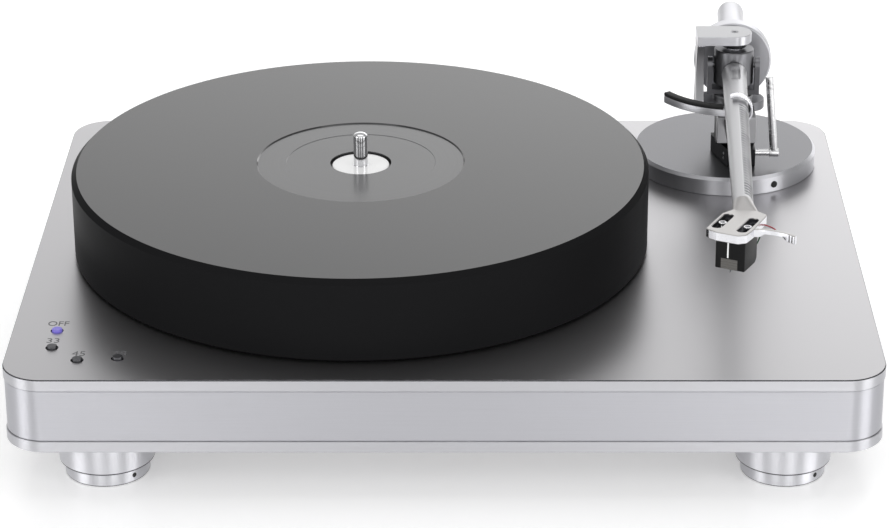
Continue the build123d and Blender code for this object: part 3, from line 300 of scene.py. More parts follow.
def inset(outline: np.ndarray, gap: float) -> np.ndarray:
    """Move a closed anticlockwise outline inwards by a gap.

    Args:
        outline: The outline's points.
        gap: How far inwards, or outwards where it is below zero.

    Returns:
        Each point moved by gap times (m + n) / (1 + m.n), with m and n the normals of its two sides.
    """
    side = np.roll(outline, -1, 0) - outline
    normal = np.stack([-side[:, 1], side[:, 0]], -1) / np.linalg.norm(side, axis=1, keepdims=True)
    before = np.roll(normal, 1, 0)
    miter = (normal + before) / (1 + (normal * before).sum(1, keepdims=True))
    return outline + gap * miter


def turned(profile: Sequence[Sequence[float]], frame: Frame, steps: int = 96) -> Shell:
    """Turn a profile of (radius, height) about the frame's z.

    Args:
        profile: The profile, from one end to the other, or back to its start for a ring.
        frame: The frame to turn it in.
        steps: Steps round.

    Returns:
        The points (r cos t, r sin t, h) for every profile point and turn t.
    """
    line = np.asarray(profile, float)
    turn = np.linspace(0, 2 * math.pi, steps, endpoint=False)
    radius, height = line[:, :1], line[:, 1:2]
    grid = np.stack([radius * np.cos(turn), radius * np.sin(turn), height + 0 * turn], -1)
    return Shell(frame.place(grid.reshape(-1, 3)), grid_faces(len(line), steps))


def pin(radius: float, low: float, high: float, frame: Frame, steps: int) -> Shell:
    """Turn a plain pin about the frame's z.

    Args:
        radius: Its radius.
        low: Height of its lower end.
        high: Height of its upper end.
        frame: The frame to turn it in.
        steps: Steps round.

    Returns:
        The closed shell.
    """
    return turned([(0.0, low), (radius, low), (radius, high), (0.0, high)], frame, steps)


def slab(
    outline: np.ndarray, levels: Sequence[tuple[float, float]], frame: Frame,
    holes: Sequence[np.ndarray] = (),
) -> Shell:
    """Stack an outline at several levels and close both ends flat.

    At each level (gap, height) the outline is moved inwards by the gap, and every hole outwards.

    Args:
        outline: The closed outline, anticlockwise.
        levels: The levels, lowest first.
        frame: The frame to build it in.
        holes: Outlines of holes right through.

    Returns:
        The closed shell.
    """
    loops = [(outline, 1.0)] + [(hole, -1.0) for hole in holes]
    points, faces, first_caps, last_caps, start = [], [], [], [], 0
    for loop, sign in loops:
        rings = np.stack(
            [np.c_[inset(loop, sign * gap), np.full(len(loop), height)] for gap, height in levels]
        )
        points.append(rings.reshape(-1, 3))
        faces += [tuple(i + start for i in face) for face in grid_faces(len(levels), len(loop))]
        first_caps.append((rings[0], start))
        last_caps.append((rings[-1], start + (len(levels) - 1) * len(loop)))
        start += rings.shape[0] * rings.shape[1]
    for caps in (first_caps, last_caps):
        index = np.concatenate([np.arange(len(ring)) + offset for ring, offset in caps])
        if len(caps) == 1:
            faces.append(tuple(index.tolist()))
            continue
        triangles = tessellate_polygon([[Vector(point) for point in ring] for ring, _ in caps])
        faces += [tuple(int(index[corner]) for corner in triangle) for triangle in triangles]
    return Shell(frame.place(np.concatenate(points)), faces)


def broken(start: float, stop: float, ease: float, slope: float) -> list[tuple[float, float]]:
    """Return a slab's levels from start to stop, with both edges broken in two steps."""
    return [
        (ease, start), (slope, start + slope), (0.0, start + ease),
        (0.0, stop - ease), (slope, stop - slope), (ease, stop),
    ]


def swept(
    path: np.ndarray, section: np.ndarray, up: Sequence[float] = (0.0, 0.0, 1.0),
    wide: np.ndarray | None = None, tall: np.ndarray | None = None,
) -> Shell:
    """Carry a closed section along a path.

    At each path point with tangent t, the section's (a, b) goes to path + a (t x up) + b ((t x up) x t).

    Args:
        path: The path's points in the part's frame.
        section: The section's points, across and up.
        up: A direction that is never along the path.
        wide: How much each place stretches the section across.
        tall: How much each place stretches it upwards.

    Returns:
        The closed shell, with flat ends.
    """
    ahead = np.gradient(path, axis=0)
    ahead /= np.linalg.norm(ahead, axis=1, keepdims=True)
    across = np.cross(ahead, np.asarray(up, float))
    across /= np.linalg.norm(across, axis=1, keepdims=True)
    lift = np.cross(across, ahead)
    one = np.ones(len(path))
    first = (one if wide is None else wide)[:, None, None] * section[None, :, :1]
    second = (one if tall is None else tall)[:, None, None] * section[None, :, 1:]
    points = path[:, None] + across[:, None] * first + lift[:, None] * second
    return Shell(points.reshape(-1, 3), capped_faces(len(path), len(section)))


def curve_through(points: Sequence[Sequence[float]], steps: int) -> np.ndarray:
    """Return a smooth line through points.

    Each stretch follows the cubic whose ends point along half the chord of the neighbouring points.

    Args:
        points: The points, at least three.
        steps: Steps in each stretch.

    Returns:
        The line.
    """
    line = np.asarray(points, float)
    slope = np.gradient(line, axis=0)
    t = np.linspace(0, 1, steps, endpoint=False)[None, :, None]
    start, end = line[:-1, None], line[1:, None]
    leave, arrive = slope[:-1, None], slope[1:, None]
    cubic = (
        (2 * t**3 - 3 * t**2 + 1) * start
        + (t**3 - 2 * t**2 + t) * leave
        + (3 * t**2 - 2 * t**3) * end
        + (t**3 - t**2) * arrive
    )
    return np.concatenate([cubic.reshape(-1, line.shape[1]), line[-1:]])


def socket_head(frame: Frame, radius: float, height: float, key: float, depth: float) -> Shell:
    """Build a screw head with a hexagon socket, from z 0 up to its height.

    Args:
        frame: Frame whose z runs out of the head.
        radius: Radius of the head.
        height: Height of the head.
        key: Radius of the hexagon's corners.
        depth: Depth of the socket.

    Returns:
        The head and the floor of its socket.
    """
    ease = min(HEAD_BREAK, height / 4)
    levels = [(0.0, 0.0), (0.0, height - ease), (ease, height)]
    head = slab(circle(radius, 40), levels, frame, [circle(key, 6)])
    floor = slab(circle(key * SOCKET_OVERLAP, 12), [(0.0, 0.0), (0.0, height - depth)], frame)
    return Shell.joined([head, floor])


# Meshes


def welded(mesh: bpy.types.Mesh, outward: bool) -> bpy.types.Mesh:
    """Merge doubles, turn faces outwards where asked, and mark crisp edges.

    Args:
        mesh: The mesh to clean.
        outward: Whether the faces' directions are worked out again.

    Returns:
        The same mesh.
    """
    work = bmesh.new()
    work.from_mesh(mesh)
    bmesh.ops.remove_doubles(work, verts=work.verts, dist=WELD)
    if outward:
        bmesh.ops.recalc_face_normals(work, faces=work.faces)
    else:
        bmesh.ops.dissolve_limit(
            work, angle_limit=FLAT_UNDER, verts=work.verts, edges=work.edges, delimit={"NORMAL"}
        )
    work.to_mesh(mesh)
    work.free()
    mesh.shade_smooth()
    mesh.set_sharp_from_angle(angle=CRISP_FROM)
    return mesh


def shell_mesh(name: str, shell: Shell) -> bpy.types.Mesh:
    """Write a shell into a new mesh in metres.

    Args:
        name: The mesh's name.
        shell: The shell in millimetres.

    Returns:
        The clean mesh.
    """
    mesh = bpy.data.meshes.new(name)
    mesh.from_pydata((shell.points * MM).tolist(), [], shell.faces)
    return welded(mesh, outward=True)


def lettering_mesh(name: str, words: str, frame: Frame, width: float, height: float) -> bpy.types.Mesh:
    """Set plain words flat on a frame, stretched to a width and height.

    Args:
        name: The mesh's name.
        words: The words.
        frame: Frame whose origin is the words' middle.
        width: Their width in millimetres.
        height: Their height in millimetres.

    Returns:
        The letters as a thin closed mesh, with their place in its points.
    """
    curve = bpy.data.curves.new(name, "FONT")
    curve.body = words
    curve.extrude = LETTER_EXTRUDE
    maker = bpy.data.objects.new(name + "_maker", curve)
    bpy.context.scene.collection.objects.link(maker)
    bpy.context.view_layer.update()
    mesh = bpy.data.meshes.new_from_object(maker.evaluated_get(bpy.context.evaluated_depsgraph_get()))
    bpy.data.objects.remove(maker)
    bpy.data.curves.remove(curve)
    mesh.name = name
    points = np.zeros(len(mesh.vertices) * 3, np.float32)
    mesh.vertices.foreach_get("co", points)
    points = points.reshape(-1, 3).astype(float)
    low, high = points.min(0), points.max(0)
    size = np.array([width, height, LETTER_THICK])
    points = (points - (low + high) / 2) / (high - low) * size
    mesh.vertices.foreach_set("co", (frame.place(points) * MM).astype(np.float32).ravel())
    mesh.materials.clear()
    return welded(mesh, outward=True)


# Finishes


def linear(hex_colour: str) -> tuple[float, float, float, float]:
    """Turn an sRGB hex colour to linear numbers with full alpha."""
    part = np.array([int(hex_colour[i : i + 2], 16) / 255 for i in (1, 3, 5)])
    value = np.where(part <= 0.04045, part / 12.92, ((part + 0.055) / 1.055) ** 2.4)
    return (float(value[0]), float(value[1]), float(value[2]), 1.0)


def add(
    tree: bpy.types.NodeTree, kind: str, inputs: dict | None = None, **settings: object
) -> bpy.types.Node:
    """Add a node with its settings, and set or link its inputs.

    Args:
        tree: The node tree.
        kind: The node's type.
        inputs: Its inputs by name or number, each a number or another node's output.
        settings: Its own settings.

    Returns:
        The node.
    """
    node = tree.nodes.new(kind)
    for name, value in settings.items():
        setattr(node, name, value)
    for socket, value in (inputs or {}).items():
        if isinstance(value, bpy.types.NodeSocket):
            tree.links.new(value, node.inputs[socket])
        else:
            node.inputs[socket].default_value = value
    return node


class Grain(Enum):
    """How a surface was worked, which sets the shape of its pattern."""

    BLASTED = "fine dimples in no direction"
    BRUSHED = "level scratches that run round the plinth"
    TURNED = "rings about the frame's z"
    MOULDED = "soft skin of a mould"
    POLISHED = "faint smears only"


@dataclass(frozen=True)
class Finish:
    """A material and how its surface was made. The grain's size and depth are millimetres."""

    name: str
    slot: str
    colour: str
    metallic: float
    roughness: float
    grain: Grain
    grain_size: float
    grain_depth: float
    spread: float = 0.05
    tone: float = 0.05
    ior: float = 1.5
    specular: float = 0.5
    upright_blur: float = 0.0
    glow: str = ""
    glow_strength: float = 0.0
    frame: Frame | None = None

    def material(self) -> bpy.types.Material:
        """Return the material, made on first use."""
        found = bpy.data.materials.get(self.name)
        if found is not None:
            return found
        made = bpy.data.materials.new(self.name)
        made.use_nodes = True
        tree = made.node_tree
        tree.nodes.clear()
        pattern = self._pattern(tree)
        base = np.array(linear(self.colour)[:3])
        darker, lighter = base * (1 - self.tone), np.minimum(base * (1 + self.tone), 1)
        tint = self._tint(tree, pattern, darker, lighter)
        span = {
            "Value": pattern, "From Min": 0.25, "From Max": 0.75,
            "To Min": max(self.roughness - self.spread, 0.02),
            "To Max": min(self.roughness + self.spread, 1.0),
        }
        rough = add(tree, "ShaderNodeMapRange", span)
        depth = {"Height": pattern, "Distance": self.grain_depth * MM, "Strength": 1.0}
        bump = add(tree, "ShaderNodeBump", depth)
        shader = add(
            tree, "ShaderNodeBsdfPrincipled",
            {
                "Base Color": tint, "Metallic": self.metallic, "Roughness": rough.outputs["Result"],
                "Normal": bump.outputs["Normal"], "Specular IOR Level": self.specular,
                "Anisotropic": self.upright_blur,
            },
        )
        if self.upright_blur:
            upright = add(tree, "ShaderNodeCombineXYZ", {"Z": 1.0})
            tree.links.new(upright.outputs["Vector"], shader.inputs["Tangent"])
        if self.metallic < 0.5:
            shader.inputs["IOR"].default_value = self.ior
        if self.glow:
            shader.inputs["Emission Color"].default_value = linear(self.glow)
            shader.inputs["Emission Strength"].default_value = self.glow_strength
        add(tree, "ShaderNodeOutputMaterial", {"Surface": shader.outputs["BSDF"]})
        return made

    @staticmethod
    def _tint(
        tree: bpy.types.NodeTree, pattern: bpy.types.NodeSocket, darker: np.ndarray, lighter: np.ndarray
    ) -> bpy.types.NodeSocket:
        """Blend two tones by the pattern.

        Args:
            tree: The node tree.
            pattern: The pattern from 0 to 1.
            darker: Tone at 0.
            lighter: Tone at 1.

        Returns:
            The blended colour's socket.
        """
        ramp = add(tree, "ShaderNodeValToRGB", {"Fac": pattern})
        ramp.color_ramp.elements[0].color = (*darker.tolist(), 1.0)
        ramp.color_ramp.elements[1].color = (*lighter.tolist(), 1.0)
        return ramp.outputs["Color"]

    def _pattern(self, tree: bpy.types.NodeTree) -> bpy.types.NodeSocket:
        """Build the grain's pattern from Object coordinates, taken into the finish's own frame."""
        where = add(tree, "ShaderNodeTexCoord").outputs["Object"]
        if self.frame is not None:
            where = add(
                tree, "ShaderNodeMapping",
                {
                    "Vector": where, "Location": tuple((self.frame.origin * MM).tolist()),
                    "Rotation": frame_euler(self.frame),
                },
                vector_type="TEXTURE",
            ).outputs["Vector"]
        if self.grain is Grain.TURNED:
            split = add(tree, "ShaderNodeSeparateXYZ", {"Vector": where})
            flat = add(tree, "ShaderNodeCombineXYZ", {"X": split.outputs["X"], "Y": split.outputs["Y"]})
            away = add(tree, "ShaderNodeVectorMath", {0: flat.outputs["Vector"]}, operation="LENGTH")
            where = add(
                tree, "ShaderNodeCombineXYZ", {"X": away.outputs["Value"], "Y": split.outputs["Z"]}
            ).outputs["Vector"]
        if self.grain is Grain.BRUSHED:
            where = add(
                tree, "ShaderNodeVectorMath", {0: where, 1: BRUSH_STRETCH}, operation="MULTIPLY"
            ).outputs["Vector"]
        return add(
            tree, "ShaderNodeTexNoise",
            {"Vector": where, "Scale": 1 / (self.grain_size * MM), "Detail": 2.0, "Roughness": 0.55},
        ).outputs["Fac"]


def frame_euler(frame: Frame) -> tuple[float, float, float]:
    """Return the XYZ turns that bring the part's directions to the frame's."""
    columns = np.stack([frame.x, frame.y, frame.z], axis=1)
    pitch = math.asin(-float(np.clip(columns[2, 0], -1, 1)))
    return (math.atan2(columns[2, 1], columns[2, 2]), pitch, math.atan2(columns[1, 0], columns[0, 0]))


# Where things are


class Layout:
    """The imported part's main axes, taken from its boxes and its known sizes, in millimetres."""

    ARM_RIGHT = 153.8
    ARM_BACK = 268.3
    AXIS_LIFT = 57.0
    YAW = math.radians(3.0)
    RISE = math.radians(1.5)
    SHELL_REACH = 242.2
    SHELL_LEFT = 8.6
    SHELL_ABOVE = 1.6
    SHELL_TURN = math.radians(23.2)

    def __init__(self) -> None:
        """Read the boxes and work out the axes."""
        low, high = self.corners("top_plate")
        self.front_y, self.back_y = float(low[1]), float(high[1])
        self.plinth_y = (self.front_y + self.back_y) / 2
        self.plate_z, self.deck_z = float(low[2]), float(high[2])
        low, high = self.corners("platter")
        middle = (low + high) / 2
        self.platter = Frame.level(middle[0], middle[1], high[2])
        self.post = Frame.level(self.ARM_RIGHT, self.front_y + self.ARM_BACK, self.deck_z)
        pivot = self.post.place([0, 0, self.AXIS_LIFT])
        level = math.cos(self.RISE)
        along = unit([-math.sin(self.YAW) * level, -math.cos(self.YAW) * level, math.sin(self.RISE)])
        aside = np.array([math.cos(self.YAW), -math.sin(self.YAW), 0.0])
        above = np.cross(along, aside)
        # Arm frame: x right, y up from the tube, z along the tube to its head
        self.arm = Frame(pivot, aside, above, along)
        nose = along * math.cos(self.SHELL_TURN) - aside * math.sin(self.SHELL_TURN)
        right = aside * math.cos(self.SHELL_TURN) + along * math.sin(self.SHELL_TURN)
        corner = self.arm.place([-self.SHELL_LEFT, self.SHELL_ABOVE, self.SHELL_REACH])
        # Headshell frame: x to the nose, y right, z up, on the top face over the stylus line
        self.shell = Frame(corner, nose, right, above)

    @staticmethod
    def corners(node: str) -> tuple[np.ndarray, np.ndarray]:
        """Return a CAD node's lowest and highest corner in millimetres."""
        low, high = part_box(node)
        return np.array(low) / MM, np.array(high) / MM


# Bench


def between(low: float, high: float) -> Callable[[np.ndarray], np.ndarray]:
    """Return a test that tells the places higher than low and lower than high, in millimetres."""
    return lambda spot: (spot[:, 2] > low) & (spot[:, 2] < high)


class Bench:
    """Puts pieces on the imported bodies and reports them."""

    def __init__(self, frame: dict) -> None:
        """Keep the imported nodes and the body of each."""
        self.nodes: dict[str, bpy.types.Object] = frame["nodes"]
        self.body_of = {
            node: body
            for body, nodes in frame["record"]["behaviour"]["bodies"].items()
            for node in nodes
        }

    def lay(
        self, name: str, mesh: bpy.types.Mesh | Shell, finish: Finish, body: str,
        replaces: Sequence[str] = (), edge: float = 0.0,
    ) -> bpy.types.Object:
        """Put a piece on a body with its finish.

        Args:
            name: The piece's name.
            mesh: Its mesh or shell.
            finish: Its finish.
            body: The CAD body that it moves with.
            replaces: CAD nodes that it stands for.
            edge: Width of a live bevel in millimetres, or zero.

        Returns:
            The piece.
        """
        data = shell_mesh(name, mesh) if isinstance(mesh, Shell) else mesh
        data.name = name
        piece = bpy.data.objects.new(name, data)
        bpy.context.scene.collection.objects.link(piece)
        data.materials.clear()
        data.materials.append(finish.material())
        if edge:
            bevel = piece.modifiers.new("edge_break", "BEVEL")
            bevel.width = edge * MM
            bevel.segments = BEVEL_STEPS
            bevel.limit_method = "ANGLE"
            bevel.angle_limit = BEVEL_FROM
            bevel.harden_normals = True
            bevel.use_clamp_overlap = True
        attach(piece, body)
        if replaces:
            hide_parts(*replaces)
        LOG.info("%s rides on %s with %d faces", name, body, len(data.polygons))
        return piece

    def stand(
        self, node: str, mesh: bpy.types.Mesh | Shell, finish: Finish, edge: float = 0.0
    ) -> bpy.types.Object:
        """Stand a finer piece in a CAD node's place, on the node's own body.

        Args:
            node: The CAD node.
            mesh: The piece's mesh or shell.
            finish: Its finish.
            edge: Width of a live bevel in millimetres, or zero.

        Returns:
            The piece, named after the node.
        """
        return self.lay(node + "_fine", mesh, finish, self.body_of[node], [node], edge)

    @staticmethod
    def paint(piece: bpy.types.Object, finish: Finish, where: Callable[[np.ndarray], np.ndarray]) -> None:
        """Give some faces of a piece another finish.

        Args:
            piece: The piece.
            finish: The other finish.
            where: Tells from the faces' middles in millimetres which of them take it.
        """
        data = piece.data
        data.materials.append(finish.material())
        spot = np.zeros(len(data.polygons) * 3, np.float32)
        data.polygons.foreach_get("center", spot)
        index = np.zeros(len(data.polygons), np.int32)
        data.polygons.foreach_get("material_index", index)
        index[where(spot.reshape(-1, 3).astype(float) / MM)] = len(data.materials) - 1
        data.polygons.foreach_set("material_index", index)

    def smooth(self, node: str, finish: Finish, edge: float = 0.0) -> bpy.types.Object:
        """Stand a welded, smoothly shaded copy of a CAD node in its place.

        Args:
            node: The CAD node.
            finish: Its finish.
            edge: Width of a live bevel in millimetres, or zero.

        Returns:
            The piece.
        """
        copy = self.nodes[node].data.copy()
        welded(copy, outward=False)
        return self.stand(node, copy, finish, edge)

    def dress(self, finish: Finish, *nodes: str) -> None:
        """Give CAD nodes that stay as they are a finish.

        Args:
            finish: The finish.
            nodes: The CAD nodes.
        """
        for node in nodes:
            data = self.nodes[node].data
            data.materials.clear()
            data.materials.append(finish.material())
            LOG.info("%s keeps its CAD mesh", node)


class Finishes:
    """Every finish of the turntable."""

    def __init__(self, at: Layout) -> None:
        """Make the finishes, with the frame that the platter's rings turn about.

        Args:
            at: The layout.
        """
        # Anodised after bead blasting: an even silver with a fine sparkle
        # Real beads leave dimples of 0.1 mm; 0.45 mm is the finest that shows at this size
        self.deck = Finish(
            "aluminium_bead_blasted_anodised", "plinth_silver", "#bab9bb", 1.0, 0.34, Grain.BLASTED,
            0.45, 0.0014, spread=0.04, tone=0.04
        )
        # The same plate's milled edges: brighter, with level tool lines
        self.rim = Finish(
            "aluminium_milled_edge_anodised", "plinth_silver", "#c7c7cb", 1.0, 0.40, Grain.BRUSHED, 0.5,
            0.001, spread=0.05, tone=0.03, upright_blur=0.85
        )
        # The chamfer cut last along its upper edge: glossy, and painted darker as a painted reflection of
        # the dark behind it
        self.cut = Finish(
            "aluminium_chamfer_painted_dark_reflection", "plinth_silver", "#77777b", 1.0, 0.22, Grain.BRUSHED, 0.5, 0.0005,
            spread=0.03, tone=0.03
        )
        # Aluminium strip brushed lengthways: level streaks of light
        # Brush lines are about 0.1 mm apart; 0.5 mm shows
        self.band = Finish(
            "aluminium_brushed_lengthways", "brushed_band", "#c3c3c8", 1.0, 0.44, Grain.BRUSHED, 0.5,
            0.002, spread=0.06, tone=0.07, upright_blur=0.85
        )
        # Aluminium turned, blasted and anodised: soft silver
        self.silver = Finish(
            "aluminium_satin_anodised", "satin_aluminium", "#b2b2b4", 1.0, 0.38, Grain.BLASTED, 0.3,
            0.0012
        )
        # The tube's cut grooves and the headshell's slots, painted darker as painted shade in their hollows
        self.groove_shade = Finish(
            "aluminium_anodised_painted_groove_shade", "satin_aluminium", "#5c5c60", 1.0, 0.40, Grain.BLASTED, 0.3,
            0.0012
        )
        # Turned aluminium of the feet: light spreads upright across its faint rings
        self.turned = Finish(
            "aluminium_turned_anodised", "satin_aluminium", "#e2e2e6", 1.0, 0.46, Grain.BLASTED, 0.4,
            0.0012, upright_blur=0.9
        )
        # The same aluminium painted dark at the break beside a narrow gap: painted shade where little light
        # comes
        self.seam = Finish(
            "aluminium_anodised_painted_shade", "satin_aluminium", "#5a5a5f", 1.0, 0.5, Grain.BLASTED, 0.4,
            0.0012
        )
        # The lift bar, and the upright edges of the bracket's top, as the cutter leaves them; on the
        # bracket's edges the lighter tone is a painted highlight
        self.upright_edge_and_highlight = Finish(
            "aluminium_milled_upright_painted_highlight", "satin_aluminium", "#dadade", 1.0, 0.44, Grain.BLASTED, 0.3,
            0.001, upright_blur=0.9
        )
        # Milled and bead blasted aluminium of the headshell
        self.shell = Finish(
            "aluminium_milled_blasted", "satin_aluminium", "#bfbdbc", 1.0, 0.42, Grain.BLASTED, 0.3,
            0.0012
        )
        # Edges of headshell and bracket as the cutter leaves them, and the rest's clip: brighter; on the
        # edges the brightness is partly a painted highlight
        self.bright_edge_and_highlight = Finish(
            "aluminium_milled_bright_painted_highlight", "satin_aluminium", "#e2e2e6", 1.0, 0.24, Grain.BLASTED, 0.3,
            0.0006
        )
        # Turned and anodised aluminium of the counterweight and its shaft
        self.weight = Finish(
            "aluminium_turned_clear_anodised", "grey_aluminium", "#c0c0c4", 1.0, 0.34, Grain.BLASTED,
            0.4, 0.0015
        )
        # Darker turned aluminium of the bearing and the arm's base; on the bracket's lower edges it is
        # painted shade
        self.grey = Finish(
            "aluminium_turned_grey", "grey_aluminium", "#7a7a7d", 1.0, 0.36, Grain.BLASTED, 0.4, 0.0015
        )
        # Outer wall of the arm's base, painted lighter than its top as painted light, where light spreads
        # upright
        self.base_wall_painted_light = Finish(
            "aluminium_turned_wall_painted_light", "grey_aluminium", "#c8c8cc", 1.0, 0.46, Grain.BLASTED, 0.4,
            0.0012, upright_blur=0.9
        )
        # Hard black anodising: deep grey with a low sheen
        self.dark = Finish(
            "aluminium_black_anodised", "dark_aluminium", "#2c2c2e", 1.0, 0.38, Grain.BLASTED, 0.3,
            0.001
        )
        # Polished and plated steel: a mirror with faint smears
        self.chrome = Finish(
            "steel_polished_chromed", "chrome", "#dcdcde", 1.0, 0.10, Grain.POLISHED, 12.0, 0.0,
            spread=0.02, tone=0.01
        )
        # Ground and plated rod of the lever: a softer shine
        self.rod = Finish(
            "steel_ground_chromed", "chrome", "#dededf", 1.0, 0.28, Grain.POLISHED, 6.0, 0.0,
            spread=0.03, tone=0.01
        )
        # Plain steel of screws, pins, the arm's post, the stylus and the motor
        self.steel = Finish("steel_satin", "steel", "#8f8f92", 1.0, 0.32, Grain.BLASTED, 0.3, 0.001)
        # Black acetal with a polished face: mirrors what stands on it
        # Tool lines of 0.1 mm are drawn at 0.8 mm, just enough to break the gloss
        self.platter = Finish(
            "acetal_black_polished", "platter_black", "#2b2b2c", 0.0, 0.12, Grain.TURNED, 0.8, 0.0002,
            spread=0.015, tone=0.05, ior=1.57, frame=at.platter
        )
        # Its recess for the record's label, turned but not polished
        self.label = Finish(
            "acetal_black_turned_fine", "platter_black", "#5f5f60", 0.0, 0.20, Grain.TURNED, 0.8,
            0.0003, spread=0.02, tone=0.05, ior=1.5, frame=at.platter
        )
        # The same acetal as the lathe leaves it: a soft dull black
        self.platter_wall = Finish(
            "acetal_black_turned", "platter_black", "#1a1a1b", 0.0, 0.40, Grain.TURNED, 0.8, 0.0006,
            spread=0.04, tone=0.05, ior=1.45, specular=0.02, frame=at.platter
        )
        # White acrylic disc round the spindle
        self.white = Finish(
            "acrylic_white_gloss", "white_disc", "#f4f4f4", 0.0, 0.08, Grain.POLISHED, 10.0, 0.0,
            spread=0.02, tone=0.01, ior=1.49
        )
        # Moulded black plastic with a fine skin
        self.plastic = Finish(
            "abs_black_moulded", "black_plastic", "#0c0c0d", 0.0, 0.42, Grain.MOULDED, 0.5, 0.002,
            specular=0.15
        )
        # Moulded grey plastic of the stylus guard
        self.guard = Finish(
            "abs_grey_moulded", "guard_plastic", "#565451", 0.0, 0.42, Grain.MOULDED, 0.5, 0.002
        )
        # Nitrile rubber: matte black. The grub plugs wear it too, as painted shade for dark holes
        self.rubber = Finish(
            "nitrile_rubber_black", "rubber_black", "#0d0d0e", 0.0, 0.62, Grain.MOULDED, 0.6, 0.004
        )
        # Gold plate over brass
        self.gold = Finish("brass_gold_plated", "brass", "#d9ad5a", 1.0, 0.18, Grain.POLISHED, 3.0, 0.0)
        # Board of pressed fibre
        self.board = Finish(
            "fibre_board_raw", "core", "#7a6650", 0.0, 0.8, Grain.MOULDED, 1.5, 0.05, tone=0.2
        )
        # Green solder mask over glass fibre, and the green lead
        self.circuit = Finish(
            "circuit_board_green", "circuit_board", "#14472b", 0.0, 0.35, Grain.MOULDED, 2.0, 0.002
        )
        # Dark chrome of the push buttons
        self.button = Finish(
            "button_black_chrome", "button_dark", "#606063", 1.0, 0.42, Grain.POLISHED, 1.5, 0.0
        )
        # Translucent cap lit from below
        self.lit = Finish(
            "button_cap_lit", "button_lit", "#6f66b4", 0.0, 0.3, Grain.MOULDED, 0.6, 0.001,
            glow="#7468d8", glow_strength=0.3
        )
        # Screen printing ink
        self.ink = Finish(
            "screen_ink_grey", "black_plastic", "#646466", 0.0, 0.5, Grain.MOULDED, 0.3, 0.0
        )
        # Coloured plastic sleeves of the sockets and leads
        self.red = Finish(
            "plastic_red_moulded", "black_plastic", "#a83a44", 0.0, 0.4, Grain.MOULDED, 0.5, 0.001
        )
        self.blue = Finish(
            "plastic_blue_moulded", "black_plastic", "#3a5c9c", 0.0, 0.4, Grain.MOULDED, 0.5, 0.001
        )


# Assemblies


@dataclass
class Assembly:
    """What every assembly needs: where things are, where pieces are put, and the finishes."""

    at: Layout
    bench: Bench
    finish: Finishes


# Plinth


